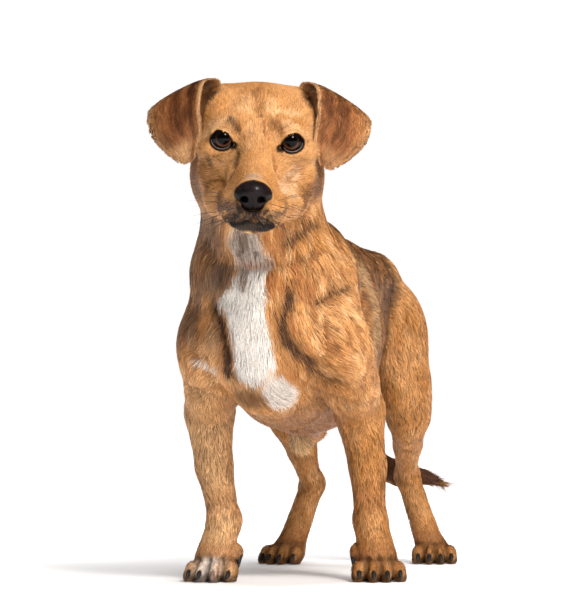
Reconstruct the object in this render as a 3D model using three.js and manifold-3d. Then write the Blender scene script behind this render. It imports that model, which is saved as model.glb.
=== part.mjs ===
// A small short-legged dog, life size, in millimetres: it stands square on four legs, with its
// head turned a little to its left. +X is the dog's left, -Y its front, +Z up, soles on z = 0.
//
// The flesh is one body. Each muscle is an ellipse swept along a bone, and neighbours blend into
// each other. Its surface is found on a grid of its own for each sub-part, and thin flat cuts part
// one sub-part from the next. Eyes, nose leather, ears and claws sit in fitted pockets.
import * as THREE from 'three';
import Module from 'manifold-3d';
import { mergeVertices } from 'three/addons/utils/BufferGeometryUtils.js';

const wasm = await Module();
wasm.setup();

// ---------------------------------------------------------------- driving dimensions
const CUT = 0.4; // width of a thin cut between two sub-parts
const POCKET = 0.35; // play round an eye, a claw, an ear or the nose in its pocket
const HEAD = { at: [2.6, -96.6, 327.5], yaw: 10.5, pitch: 17.5, roll: 2.5 }; // from between the eyes
const EYE = { radius: 9.6, aside: 24.8, back: 2.5, up: 1.5 };
const NOSE = { back: -62.5, up: -23.5, wide: 14, deep: 10, high: 11.3, taper: 0.18, lean: 1.5 };
const EAR = { thick: 3.6, bow: 7, crest: 2.5, foldAt: 0.3, across: 5, along: 9 };
const FORE_PAW = { spread: 14.8, toeLong: 17, toeWide: 6 };
const HIND_PAW = { spread: 13.2, toeLong: 17, toeWide: 5.5 };
const OUTER_TOE_BACK = 7; // how far the outer toes stand behind the middle two
const KNUCKLE = { up: 9, deep: 7 }; // height of each toe's middle, and its half-depth
const CLAW = { long: 7.5, thick: 2.5, tip: 0.25, droop: 0.6, up: 7, ahead: 5 };
const DEWCLAW = { long: 7, thick: 2.1, aside: 18.5, back: 6, up: 19, dip: 0.9 };
const TAIL_ROOT = 286; // how far back the tail leaves the trunk
const PAW_TOP = 25; // height of the cut above each paw
const FORELEG_TOP = 149; // height of the cut above each elbow
const FORELEG_INSIDE = 35; // from the spine's plane to the cut inside each elbow
const FORELEG_BEHIND = 24; // from each elbow to the cut behind it
// grid steps across, along and up, longer along each sub-part's own length
const CELL = {
  head: [9, 9.9, 9],
  neck: [17, 17, 18],
  trunk: [18, 25, 18],
  foreleg: [10.2, 10.2, 17],
  hindleg: [11, 12, 17],
  paw: [8.5, 8.5, 7],
  tail: [9, 12, 11],
};

const SPINE = [[-8, -68], [-5, 40], [0, 150], [3, 290]]; // the body's middle line: x at y
const LEGS = {
  foreleg_left: { side: 1, elbow: [52, 50, 128], wrist: [61, 43, 46], paw: [68, 35, 0], toe: [74, 14, 0] },
  foreleg_right: {
    side: -1, elbow: [-63.5, 36, 128], wrist: [-48.5, 20, 46], paw: [-53.5, 8, 0], toe: [-54.5, -14, 0],
  },
  hindleg_left: {
    side: 1, hip: [44, 240, 200], stifle: [54, 250, 128], hock: [41, 321, 74], paw: [67.5, 300, 0],
    toe: [72.5, 276, 0],
  },
  hindleg_right: {
    side: -1, hip: [-34, 236, 200], stifle: [-42, 232, 128], hock: [-36.5, 300, 66], paw: [-53.5, 270, 0],
    toe: [-58.5, 244, 0],
  },
};
const TAIL = [
  [3, 286, 226], [3, 318, 198], [0, 338, 147], [-3, 348, 106], [8, 354, 82], [28, 358, 73.5], [48, 361, 71],
  [66, 364, 63],
];
const TAIL_RADIUS = [16, 13, 12.5, 12.5, 13, 12, 7.4, 2];
const TAIL_FLAT = 0.85; // its width over its depth
const TAIL_ROOM = 1.5; // play between the tail and the buttocks it hangs against
// each ear's two edges, in the head's frame, from where it grows out of the skull to its tip
const EAR_FRONT_EDGE = [[27, 36, 28], [31, 33, 39], [41, 26, 38], [43, 17, 22], [42, 13, 4], [47, 12, -21]];
const EAR_REAR_EDGE = [[42, 54, 6], [66, 54, 14], [83, 44, 10], [81, 31, -4], [69, 20, -15], [54, 12, -23]];

const COLOUR = {
  tan: 0xc8904f, saddle: 0xa9733f, ear: 0x9b5f30, tail: 0x5d3a22, paw: 0xb98450,
  nose: 0x1c1a1b, eye: 0x23150e, claw: 0x2a2523,
};

// ---------------------------------------------------------------- small vector helpers
const add = (a, b) => a.map((value, i) => value + b[i]);
const sub = (a, b) => a.map((value, i) => value - b[i]);
const scale = (a, k) => a.map((value) => value * k);
const dot = (a, b) => a[0] * b[0] + a[1] * b[1] + a[2] * b[2];
const cross = (a, b) => [a[1] * b[2] - a[2] * b[1], a[2] * b[0] - a[0] * b[2], a[0] * b[1] - a[1] * b[0]];
const unit = (a) => scale(a, 1 / Math.hypot(...a));
const lerp = (a, b, t) => add(scale(a, 1 - t), scale(b, t));
const clamp = (value, low, high) => Math.min(Math.max(value, low), high);
const LEFT = [1, 0, 0];
const BACK = [0, 1, 0];
const UP = [0, 0, 1];

const headPose = new THREE.Matrix4().compose(
  new THREE.Vector3(...HEAD.at),
  new THREE.Quaternion().setFromEuler(
    new THREE.Euler(
      THREE.MathUtils.degToRad(HEAD.pitch),
      THREE.MathUtils.degToRad(HEAD.roll),
      THREE.MathUtils.degToRad(HEAD.yaw),
      'ZXY',
    ),
  ),
  new THREE.Vector3(1, 1, 1),
);
// a point, and a direction, of the head's own frame
const inHead = (point) => new THREE.Vector3(...point).applyMatrix4(headPose).toArray();
const alongHead = (direction) => new THREE.Vector3(...direction).transformDirection(headPose).toArray();

// x of the body's middle plane at y
function spineX(y) {
  const last = SPINE.length - 1;
  const next = SPINE.findIndex(([, at]) => at > y);
  const i = next < 0 ? last : Math.max(next, 1);
  const [[x0, y0], [x1, y1]] = [SPINE[i - 1], SPINE[i]];
  return x0 + (x1 - x0) * clamp((y - y0) / (y1 - y0), 0, 1);
}
const body = (aside, y, z) => [spineX(y) + aside, y, z];

// ---------------------------------------------------------------- flesh as a distance field
// An ellipse swept from one point to another. wide is its half-width along side at each end, deep
// its other half-width, cap how far each end bulges on, and blend how softly it meets the rest.
function sweep({ from, to, wide, deep, blend, side = LEFT, cap = null, carve = false }) {
  const length = Math.hypot(...sub(to, from));
  const axis = unit(sub(to, from));
  const across = unit(sub(side, scale(axis, dot(side, axis))));
  const ends = cap ?? [(wide[0] + deep[0]) / 2, (wide[1] + deep[1]) / 2];
  const reach = Math.max(...wide, ...deep, ...ends);
  return {
    from, axis, across, through: cross(axis, across), length, wide, deep, ends, blend, carve,
    low: from.map((value, i) => Math.min(value, to[i]) - reach),
    high: from.map((value, i) => Math.max(value, to[i]) + reach),
  };
}

// A round mass, with its half-sizes along the dog's left, back and up, or along the head's.
function mass({ at, size, blend, head = false, carve = false }) {
  const hair = 1e-3; // a sweep of almost no length
  const [wide, long, deep] = size;
  const start = head ? inHead(at) : at;
  return sweep({
    from: start,
    to: add(start, scale(head ? alongHead(BACK) : BACK, hair)),
    side: head ? alongHead(LEFT) : LEFT,
    wide: [wide, wide],
    deep: [deep, deep],
    cap: [long, long],
    blend,
    carve,
  });
}

// how far a point is from one swept ellipse, negative inside
function distance(flesh, point) {
  const offset = sub(point, flesh.from);
  const along = clamp(dot(offset, flesh.axis), 0, flesh.length);
  const t = along / flesh.length;
  const size = [flesh.ends, flesh.wide, flesh.deep].map(([start, end]) => start + (end - start) * t);
  const local = [dot(offset, flesh.axis) - along, dot(offset, flesh.across), dot(offset, flesh.through)];
  const reach = Math.hypot(local[0] / size[0], local[1] / size[1], local[2] / size[2]);
  const slope = Math.hypot(local[0] / size[0] ** 2, local[1] / size[1] ** 2, local[2] / size[2] ** 2);
  return (reach * (reach - 1)) / (slope + 1e-9);
}

function softMin(a, b, k) {
  const h = Math.max(k - Math.abs(a - b), 0) / k;
  return Math.min(a, b) - (h ** 3 * k) / 6;
}

// the blended distance to a list of swept ellipses, far away where none is near
function makeField(fleshes) {
  const far = 60;
  const margin = 25; // as long as the longest grid step
  const near = (flesh, point) => point.every((value, i) => (
    value > flesh.low[i] - flesh.blend - margin && value < flesh.high[i] + flesh.blend + margin
  ));
  return (point) => fleshes.reduce((value, flesh) => {
    if (!near(flesh, point)) return value;
    const d = distance(flesh, point);
    return flesh.carve ? -softMin(-value, d, flesh.blend) : softMin(value, d, flesh.blend);
  }, far);
}

// ---------------------------------------------------------------- a field's surface as a solid
// One vertex in each grid cell that the surface crosses, moved onto the surface, and one quad
// round each grid edge that it crosses. The box's outermost layer of grid points counts as outside.
function surfaceSolid(field, low, high, cell) {
  const count = low.map((value, i) => Math.ceil((high[i] - value) / cell[i]) + 1);
  const grid = new Float32Array(count[0] * count[1] * count[2]);
  const index = (i, j, k) => (i * count[1] + j) * count[2] + k;
  const place = (...at) => at.map((value, axis) => low[axis] + value * cell[axis]);
  const onBorder = (...at) => at.some((value, axis) => value === 0 || value === count[axis] - 1);
  forEachPoint([0, 0, 0], count, (i, j, k) => {
    grid[index(i, j, k)] = onBorder(i, j, k) ? cell[0] : field(place(i, j, k));
  });
  joinDiagonals(grid, count, index);
  const inside = (i, j, k) => grid[index(i, j, k)] < 0;
  const vertices = [];
  const vertexOf = new Map();

  const crossingMean = (i, j, k) => {
    let sum = [0, 0, 0];
    let crossings = 0;
    for (let corner = 0; corner < 8; corner += 1) {
      const start = [i + (corner & 1), j + ((corner >> 1) & 1), k + ((corner >> 2) & 1)];
      for (let axis = 0; axis < 3; axis += 1) {
        if ((corner >> axis) & 1) continue;
        const end = start.map((value, at) => value + (at === axis ? 1 : 0));
        const [a, b] = [grid[index(...start)], grid[index(...end)]];
        if (a < 0 === b < 0) continue;
        sum = add(sum, lerp(place(...start), place(...end), a / (a - b)));
        crossings += 1;
      }
    }
    return scale(sum, 1 / crossings);
  };
  const vertexIn = (i, j, k) => {
    const key = index(i, j, k);
    if (!vertexOf.has(key)) {
      vertexOf.set(key, vertices.length / 3);
      vertices.push(...ontoSurface(field, crossingMean(i, j, k), Math.min(...cell) / 2));
    }
    return vertexOf.get(key);
  };

  const triangles = [];
  forEachPoint([0, 0, 0], count.map((value) => value - 1), (i, j, k) => {
    for (let axis = 0; axis < 3; axis += 1) {
      const next = [i, j, k].map((value, at) => value + (at === axis ? 1 : 0));
      if (inside(i, j, k) === inside(...next)) continue;
      const [u, v] = [(axis + 1) % 3, (axis + 2) % 3];
      const quad = [[1, 1], [0, 1], [0, 0], [1, 0]].map(([du, dv]) => {
        const at = [i, j, k];
        at[u] -= du;
        at[v] -= dv;
        return vertexIn(...at);
      });
      if (!inside(i, j, k)) quad.reverse();
      triangles.push(quad[0], quad[1], quad[2], quad[0], quad[2], quad[3]);
    }
  });
  return new wasm.Manifold(new wasm.Mesh({
    numProp: 3, vertProperties: new Float32Array(vertices), triVerts: new Uint32Array(triangles),
  }));
}

function forEachPoint(first, end, visit) {
  for (let i = first[0]; i < end[0]; i += 1) {
    for (let j = first[1]; j < end[1]; j += 1) {
      for (let k = first[2]; k < end[2]; k += 1) visit(i, j, k);
    }
  }
}

// Where a grid square is inside at two opposite corners and outside at the others, the surface
// would pinch there, so its outer corners are taken as just inside.
function joinDiagonals(grid, count, index) {
  const justInside = -1e-3;
  let found = true;
  const join = (i, j, k) => {
    for (const [u, v] of [[0, 1], [1, 2], [2, 0]]) {
      const ring = [[0, 0], [1, 0], [1, 1], [0, 1]].map(([du, dv]) => {
        const at = [i, j, k];
        at[u] += du;
        at[v] += dv;
        return index(...at);
      });
      const signs = ring.map((at) => grid[at] < 0);
      if (signs[0] !== signs[2] || signs[1] !== signs[3] || signs[0] === signs[1]) continue;
      ring.filter((at) => grid[at] >= 0).forEach((at) => { grid[at] = justInside; });
      found = true;
    }
  };
  while (found) {
    found = false;
    forEachPoint([1, 1, 1], count.map((value) => value - 1), join);
  }
}

// moves a point along the field's slope until it lies on the surface, by no more than a limit
function ontoSurface(field, start, limit) {
  const step = 0.2;
  let point = start;
  for (let pass = 0; pass < 3; pass += 1) {
    const value = field(point);
    const slope = [0, 1, 2].map((axis) => {
      const ahead = point.map((at, i) => at + (i === axis ? step : 0));
      return (field(ahead) - value) / step;
    });
    point = sub(point, scale(slope, value / (dot(slope, slope) + 1e-6)));
  }
  const moved = sub(point, start);
  return add(start, scale(moved, Math.min(1, limit / (Math.hypot(...moved) + 1e-9))));
}

// ---------------------------------------------------------------- three.js shapes as solids
function solidOf(geometry) {
  const bare = geometry.clone();
  bare.deleteAttribute('normal');
  bare.deleteAttribute('uv');
  const merged = mergeVertices(bare, 1e-4);
  return new wasm.Manifold(new wasm.Mesh({
    numProp: 3,
    vertProperties: new Float32Array(merged.attributes.position.array),
    triVerts: new Uint32Array(merged.index.array),
  }));
}

function geometryOf(solid) {
  const { vertProperties, triVerts } = solid.getMesh();
  const geometry = new THREE.BufferGeometry();
  geometry.setAttribute('position', new THREE.BufferAttribute(new Float32Array(vertProperties), 3));
  geometry.setIndex(new THREE.BufferAttribute(new Uint32Array(triVerts), 1));
  geometry.computeVertexNormals();
  return geometry;
}

// everything on the side of a plane that its normal points to
function beyond(point, normal) {
  const size = 1500;
  const box = new THREE.BoxGeometry(size, size, size).translate(0, 0, size / 2);
  box.applyQuaternion(new THREE.Quaternion().setFromUnitVectors(
    new THREE.Vector3(...UP),
    new THREE.Vector3(...unit(normal)),
  ));
  return solidOf(box.translate(...point));
}

// the two sides of a thin cut: behind it, and ahead of it along the normal
function thinCut(point, normal) {
  const half = scale(unit(normal), CUT / 2);
  return { behind: beyond(sub(point, half), scale(normal, -1)), ahead: beyond(add(point, half), normal) };
}

// ---------------------------------------------------------------- muscles
const headSweep = ({ from, to, side = LEFT, ...rest }) => sweep({
  from: inHead(from), to: inHead(to), side: alongHead(side), ...rest,
});
const headMass = (options) => mass({ head: true, ...options });

function headFlesh() {
  const paired = [-1, 1].flatMap((s) => [
    // brow
    headMass({ at: [s * 19, 5, 10.5], size: [15, 11, 9], blend: 10 }),
    // temple
    headSweep({ from: [s * 30, 24, 4], to: [s * 30, 54, 0], wide: [14, 13], deep: [26, 28], blend: 12 }),
    // cheek, and the cheekbone over it
    headSweep({
      from: [s * 29, 10, -25], to: [s * 33.2, 42, -34], wide: [15, 17.2], deep: [17, 28], blend: 12,
    }),
    headMass({ at: [s * 33, 12, -8], size: [11.5, 20, 9], blend: 10 }),
    // rim below the eye
    headMass({ at: [s * 20, -4, -13], size: [12, 12, 8], blend: 8 }),
    // hanging upper lip, front and rear
    headSweep({
      from: [s * 14, -51, -37.5], to: [s * 25, -12, -42], wide: [10.5, 10.5], deep: [12, 13], blend: 8,
    }),
    headSweep({
      from: [s * 25, -12, -42], to: [s * 31, 10, -44], wide: [10.5, 9], deep: [13, 12.5], blend: 8,
    }),
    // eye socket
    headMass({ at: [s * 26.5, -9, 1], size: [10.5, 7.5, 8.5], blend: 5, carve: true }),
  ]);
  return [
    // braincase and the flat crown across it
    headMass({ at: [0, 42, -2], size: [44, 50, 36], blend: 14 }),
    headSweep({
      from: [-25, 42, 20], to: [25, 42, 20], side: BACK, wide: [22, 22], deep: [13, 13], cap: [12, 12],
      blend: 12,
    }),
    // muzzle and the bridge of the nose
    headSweep({
      from: [0, -2, -20], to: [0, -54, -30], wide: [24, 16.5], deep: [22, 17], cap: [22, 16], blend: 14,
    }),
    headSweep({ from: [0, 0, -4], to: [0, -59, -19], wide: [12, 10], deep: [10, 7], blend: 10 }),
    // jaw and chin
    headSweep({ from: [0, 36, -46], to: [0, -47, -45.5], wide: [31, 18], deep: [15, 9.5], blend: 10 }),
    headMass({ at: [0, -53, -47.5], size: [12.5, 9, 7], blend: 6 }),
    // throat latch
    headMass({ at: [-3, 50, -38], size: [42, 34, 30], blend: 16 }),
    ...paired,
  ];
}

function trunkFlesh() {
  const nape = inHead([-3, 46, -18]);
  const gullet = inHead([0, 20, -44]);
  const paired = [-1, 1].flatMap((s) => {
    const point = s > 0 ? 51 : 45.5; // the right shoulder stands closer in
    return [
      // shoulder blade and upper arm
      sweep({
        from: body(s * 31, 30, 240), to: body(s * point, -14, 184), wide: [25, 23], deep: [42, 34], blend: 18,
      }),
      sweep({
        from: body(s * point, -14, 182), to: body(s * (point + 5), 20, 150), wide: [22, 19], deep: [32, 26],
        blend: 16,
      }),
      // croup
      sweep({
        from: body(s * 28, 228, 226), to: body(s * 37, 255, 190), wide: [22, 24], deep: [36, 38], blend: 18,
      }),
      // long muscle beside the spine
      sweep({
        from: body(s * 26, 60, 239), to: body(s * 25, 214, 235), wide: [27, 24], deep: [27, 23], blend: 26,
      }),
    ];
  });
  return [
    // neck, its base and the throat
    sweep({ from: [-7, -14, 240], to: nape, wide: [53, 40.5], deep: [50, 42], cap: [44, 36], blend: 26 }),
    sweep({
      from: [-10, -30, 238], to: [-5, 0, 225], wide: [54, 61], deep: [36, 40], cap: [30, 30], blend: 26,
    }),
    sweep({ from: [-7, -44, 236], to: gullet, wide: [34, 30], deep: [28, 26], cap: [24, 24], blend: 18 }),
    // rib cage, belly and loin
    sweep({
      from: body(0, -2, 198), to: body(0, 92, 189), wide: [52, 59], deep: [68, 77.5], cap: [52, 46], blend: 30,
    }),
    sweep({
      from: body(0, 112, 187), to: body(0, 196, 203), wide: [58, 44], deep: [76, 55], cap: [50, 44], blend: 30,
    }),
    sweep({
      from: body(0, 190, 207), to: body(0, 256, 208), wide: [44, 38], deep: [53, 44], cap: [40, 34], blend: 26,
    }),
    // withers, forechest and breastbone
    mass({ at: body(2, 26, 238), size: [39, 54, 38], blend: 24 }),
    mass({ at: body(0, -34, 190), size: [49, 36, 48], blend: 22 }),
    sweep({
      from: body(0, -20, 156), to: body(0, 40, 146), wide: [26, 34], deep: [28, 30], cap: [24, 24], blend: 20,
    }),
    // sheath under the belly
    sweep({ from: [-8, 112, 105], to: [-6, 160, 116], wide: [9, 11], deep: [10, 12], blend: 18 }),
    // root of the tail
    sweep({
      from: [3, 246, 222], to: [3, 276, 229], wide: [24, 16], deep: [22, 16], cap: [20, 9], blend: 16,
    }),
    ...paired,
  ];
}

// The paw's own directions: ahead to the toes, and inward to the dog's middle. at() gives a place
// from the paw's middle on the floor.
function pawFrame({ side, paw, toe }) {
  const ahead = unit(sub(toe, paw));
  const inward = scale(unit(cross(ahead, UP)), side);
  const at = (inner, forward, high) => (
    add(add(paw, scale(inward, inner)), add(scale(ahead, forward), scale(UP, high)))
  );
  return { ahead, inward, at };
}

// how far each of the four toes stands from the paw's middle, and how far its knuckle reaches
function toePlaces({ spread, toeLong }) {
  return [-1, -0.34, 0.34, 1].map((share) => ({
    inner: share * spread, reach: Math.abs(share) < 1 ? toeLong : toeLong - OUTER_TOE_BACK,
  }));
}

// the pad with the instep over it, and four toes, each bent at its knuckle
function pawFlesh(leg, size) {
  const { inward, at } = pawFrame(leg);
  const { spread, toeWide } = size;
  const instep = sweep({
    from: at(0, -8, 10), to: at(0, 6, 7), wide: [spread + 1, spread + 2], deep: [13.5, 11], cap: [11, 9],
    blend: 8, side: inward,
  });
  const toe = { wide: [toeWide, toeWide], deep: [KNUCKLE.deep, KNUCKLE.deep], side: inward };
  const toes = toePlaces(size).flatMap(({ inner, reach }) => {
    const knuckle = at(inner, reach - 3, KNUCKLE.up);
    return [
      sweep({ from: at(inner * 0.8, 2, KNUCKLE.up), to: knuckle, blend: 4, ...toe }),
      sweep({ from: knuckle, to: at(inner * 1.06, reach + 3, 4), cap: [6.5, 6.5], blend: 3, ...toe }),
    ];
  });
  return [instep, ...toes];
}

function forelegFlesh(leg) {
  const { side, elbow, wrist } = leg;
  const { inward, at } = pawFrame(leg);
  const middle = add(lerp(elbow, wrist, 0.5), [side * 2.2, -2, 0]);
  const shoulder = body(side > 0 ? 54 : -47, -6, 172);
  return [
    // upper arm, point of the elbow, and forearm
    sweep({ from: shoulder, to: add(elbow, [0, -3, 6]), wide: [23, 18], deep: [31, 23], blend: 14 }),
    sweep({ from: elbow, to: add(elbow, [0, 6, -8]), wide: [17, 15], deep: [18, 16], blend: 10 }),
    sweep({ from: add(elbow, [0, -4, 0]), to: middle, wide: [19, 14.2], deep: [19, 16], blend: 10 }),
    sweep({ from: middle, to: wrist, wide: [14.2, 12], deep: [15.5, 12], blend: 8 }),
    // wrist, pastern and dewclaw pad
    mass({ at: add(wrist, [0, -1, 0]), size: [12.8, 13, 13], blend: 8 }),
    sweep({ from: wrist, to: at(0, 1, 18), wide: [12.5, 15.5], deep: [12, 12], blend: 8, side: inward }),
    mass({ at: at(15.5, -6, 22), size: [6, 6, 8], blend: 5 }),
    ...pawFlesh(leg, FORE_PAW),
  ];
}

function hindlegFlesh(leg) {
  const { side, hip, stifle, hock } = leg;
  const { inward, at } = pawFrame(leg);
  const aboveStifle = lerp(stifle, hip, 0.3);
  const shin = add(lerp(stifle, hock, 0.5), [0, 3, 0]);
  const seat = add(stifle, [-side * 2, 42, 10]);
  return [
    // thigh, seat and knee
    sweep({ from: hip, to: aboveStifle, wide: [25, 21.5], deep: [44, 36], cap: [34, 30], blend: 18 }),
    sweep({ from: add(hip, [0, 30, -8]), to: seat, wide: [21, 16], deep: [22, 17], blend: 18 }),
    sweep({ from: aboveStifle, to: stifle, wide: [21, 18], deep: [34, 24], blend: 14 }),
    // shin, and the tendon behind it
    sweep({ from: add(stifle, [0, 6, -4]), to: shin, wide: [17, 12], deep: [24, 16], blend: 12 }),
    sweep({ from: shin, to: add(hock, [0, -3, 0]), wide: [12, 8.5], deep: [16, 11], blend: 8 }),
    sweep({
      from: add(stifle, [0, 36, 0]), to: add(hock, [0, 6, 8]), wide: [9, 5], deep: [12, 5.5], blend: 12,
    }),
    // hock, heel and rear pastern
    mass({ at: hock, size: [10.5, 12, 12], blend: 8 }),
    sweep({ from: add(hock, [0, 8, 6]), to: add(hock, [0, 8, -2]), wide: [7, 7], deep: [7, 7], blend: 6 }),
    sweep({ from: hock, to: at(4, -5, 18), wide: [10, 12], deep: [10.5, 10.5], blend: 8, side: inward }),
    ...pawFlesh(leg, HIND_PAW),
  ];
}

const tailFlesh = () => TAIL.slice(1).map((to, i) => sweep({
  from: TAIL[i],
  to,
  wide: [TAIL_RADIUS[i] * TAIL_FLAT, TAIL_RADIUS[i + 1] * TAIL_FLAT],
  deep: [TAIL_RADIUS[i], TAIL_RADIUS[i + 1]],
  blend: 5,
}));

const isFore = (name) => name.startsWith('fore');
const bodyField = makeField([
  ...trunkFlesh(),
  ...headFlesh(),
  ...Object.entries(LEGS).flatMap(([name, leg]) => (isFore(name) ? forelegFlesh(leg) : hindlegFlesh(leg))),
]);
const tailField = makeField(tailFlesh());

// ---------------------------------------------------------------- fitted pieces
// an eyeball, or its pocket where play is more than nothing
function eyeSolid(side, play) {
  const centre = inHead([side * EYE.aside, EYE.back, EYE.up]);
  return solidOf(new THREE.SphereGeometry(EYE.radius + play, 11, 6).translate(...centre));
}

// the nose leather: a rounded block, broad above and narrow at the lip
function noseSolid(play) {
  const ball = new THREE.SphereGeometry(1, 12, 8);
  const { position } = ball.attributes;
  for (let i = 0; i < position.count; i += 1) {
    const [x, y, z] = [position.getX(i), position.getY(i), position.getZ(i)];
    position.setXYZ(
      i,
      x * (NOSE.wide + play) * (1 + NOSE.taper * z),
      NOSE.back + y * (NOSE.deep + play) - NOSE.lean * z,
      NOSE.up + z * (NOSE.high + play),
    );
  }
  return solidOf(ball.applyMatrix4(headPose));
}

// a smooth curve through an edge's points, at t from 0 to 1
function edgeCurve(points) {
  const curve = new THREE.CatmullRomCurve3(points.map((point) => new THREE.Vector3(...point)));
  curve.curveType = 'catmullrom';
  return (t) => curve.getPoint(t).toArray();
}

// An ear flap: a thin bowed sheet between its front and rear edges, folded over at its crest.
// grow makes it thicker and longer all round.
function earSolid(side, grow) {
  const front = edgeCurve(EAR_FRONT_EDGE);
  const rear = edgeCurve(EAR_REAR_EDGE);
  const middle = (u, v) => {
    const bow = 4 * u * (1 - u) * Math.sin(Math.PI * clamp(v, 0, 1));
    const fold = clamp((v - EAR.foldAt) * 3, -1, 1);
    return add(lerp(front(v), rear(v), u), [0, -bow * EAR.bow * fold, v < 0.5 ? bow * EAR.crest : 0]);
  };
  // towards the end of a row or column of the sheet, or nothing between its ends
  const outwards = (i, last) => (i === last ? grow : 0) - (i === 0 ? grow : 0);
  const faces = [[], []];
  forEachPoint([0, 0, 0], [EAR.along + 1, EAR.across + 1, 1], (j, i) => {
    const [u, v] = [i / EAR.across, j / EAR.along];
    const step = 0.02;
    const acrossEar = unit(sub(middle(clamp(u + step, 0, 1), v), middle(clamp(u - step, 0, 1), v)));
    const alongEar = unit(sub(middle(u, clamp(v + step, 0, 1)), middle(u, clamp(v - step, 0, 1))));
    const out = unit(cross(acrossEar, alongEar));
    const thinEdge = Math.min(1, 0.45 + 2.2 * Math.min(u, 1 - u));
    const thinTip = Math.min(1, 0.5 + 3 * (1 - v));
    const half = (EAR.thick / 2) * thinEdge * thinTip + grow;
    const edge = add(scale(acrossEar, outwards(i, EAR.across)), scale(alongEar, outwards(j, EAR.along)));
    const point = add(middle(u, v), edge);
    [half, -half].forEach((offset, face) => {
      const [x, y, z] = add(point, scale(out, offset));
      faces[face].push(inHead([side * x, y, z]));
    });
  });
  return closedSheet(faces, EAR.across + 1, EAR.along + 1, side < 0);
}

// joins two faces of a sheet, each a grid of rows, with a rim; mirrored turns the faces round
function closedSheet([upper, lower], columns, rows, mirrored) {
  const quads = [];
  const below = upper.length;
  const at = (row, column) => row * columns + column;
  forEachPoint([0, 0, 0], [rows - 1, columns - 1, 1], (row, column) => {
    const ring = [at(row, column), at(row, column + 1), at(row + 1, column + 1), at(row + 1, column)];
    quads.push(ring, ring.map((vertex) => vertex + below).reverse());
  });
  const rim = [
    ...Array.from({ length: columns - 1 }, (_, i) => at(0, i)),
    ...Array.from({ length: rows - 1 }, (_, i) => at(i, columns - 1)),
    ...Array.from({ length: columns - 1 }, (_, i) => at(rows - 1, columns - 1 - i)),
    ...Array.from({ length: rows - 1 }, (_, i) => at(rows - 1 - i, 0)),
  ];
  rim.forEach((vertex, i) => {
    const next = rim[(i + 1) % rim.length];
    quads.push([next, vertex, vertex + below, next + below]);
  });
  const faces = mirrored ? quads.map((quad) => [...quad].reverse()) : quads;
  return new wasm.Manifold(new wasm.Mesh({
    numProp: 3,
    vertProperties: new Float32Array([...upper, ...lower].flat()),
    triVerts: new Uint32Array(faces.flatMap(([a, b, c, d]) => [a, b, c, a, c, d])),
  }));
}

// a claw: a cone that leaves the toe forward and bends down towards the floor
function clawSolid({ root, ahead, long, thick }, play) {
  const [narrow, high] = [0.8, 1.15]; // its section, over its thickness
  const cone = new THREE.CylinderGeometry(CLAW.tip + play, thick + play, 1, 5, 2);
  const { position } = cone.attributes;
  const side = unit(cross(ahead, UP));
  for (let i = 0; i < position.count; i += 1) {
    const t = position.getY(i) + 0.5;
    const reach = t * (long + play) - play * (1 - t);
    const centre = add(root, add(scale(ahead, reach), scale(UP, -CLAW.droop * long * t * t)));
    const offset = add(scale(side, position.getX(i) * narrow), scale(UP, position.getZ(i) * high));
    position.setXYZ(i, ...add(centre, offset));
  }
  return solidOf(cone);
}

// four claws to a paw, and a dewclaw inside each forepaw
function clawPlaces(name, leg) {
  const { ahead, at } = pawFrame(leg);
  const claws = toePlaces(isFore(name) ? FORE_PAW : HIND_PAW).map(({ inner, reach }) => ({
    root: at(inner * 1.06, reach + CLAW.ahead, CLAW.up), ahead, long: CLAW.long, thick: CLAW.thick,
  }));
  const dewclaw = {
    root: at(DEWCLAW.aside, -DEWCLAW.back, DEWCLAW.up),
    ahead: unit(sub(ahead, scale(UP, DEWCLAW.dip))),
    long: DEWCLAW.long,
    thick: DEWCLAW.thick,
  };
  return isFore(name) ? [...claws, dewclaw] : claws;
}

// ---------------------------------------------------------------- where the sub-parts are parted
const headCut = thinCut(inHead([0, 22, -60]), alongHead([0, 0.675, -0.738])); // throat latch to nape
const neckCut = thinCut([-8, -80, 222], [0, 0.507, -0.862]); // top of the forechest to the withers
const rumpCut = thinCut([0, 212, 150], [0, 0.66, -0.75]); // flank fold to below the tail
const middleCut = thinCut([spineX(TAIL_ROOT), 0, 0], LEFT);
const tailCut = thinCut([0, TAIL_ROOT, 0], BACK);
const pawCut = thinCut([0, 0, PAW_TOP], UP);
const floor = beyond([0, 0, 0], UP);

// a box round each sub-part's flesh, well past its cuts
const HEAD_BOX = [[-72, -182, 225], [88, 24, 392]];
const NECK_BOX = [[-92, -118, 190], [88, 60, 372]];
const TRUNK_BOX = [[-100, -110, 78], [104, 330, 306]];
const TAIL_BOX = [[-30, 250, 30], [100, 388, 268]];
const LEG_REACH = 44; // round a leg's joints
const PAW_REACH = 38; // round a paw's middle and toes
const PAST_CUT = 14;
const THIGH_TOP = 262;

// the whole tail, or the room round it where play is more than nothing
const tailSolid = (play) => surfaceSolid((point) => tailField(point) - play, ...TAIL_BOX, CELL.tail);

function footprint(points, reach) {
  const low = [0, 1].map((i) => Math.min(...points.map((point) => point[i])) - reach);
  const high = [0, 1].map((i) => Math.max(...points.map((point) => point[i])) + reach);
  return { low, high };
}

// the cuts round the top of a leg, each with its ahead side towards the leg
function legCuts(name, { side, elbow }) {
  if (!isFore(name)) {
    return [rumpCut, side > 0 ? middleCut : { ahead: middleCut.behind, behind: middleCut.ahead }];
  }
  return [
    thinCut([spineX(elbow[1]) + side * FORELEG_INSIDE, 0, 0], [side, 0, 0]),
    thinCut([0, elbow[1] + FORELEG_BEHIND, 0], scale(BACK, -1)),
    thinCut([0, 0, FORELEG_TOP], scale(UP, -1)),
  ];
}
const within = (cuts) => cuts.map(({ ahead }) => ahead).reduce((all, solid) => all.intersect(solid));
const outside = (cuts) => cuts.map(({ behind }) => behind).reduce((all, solid) => all.add(solid));

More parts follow.
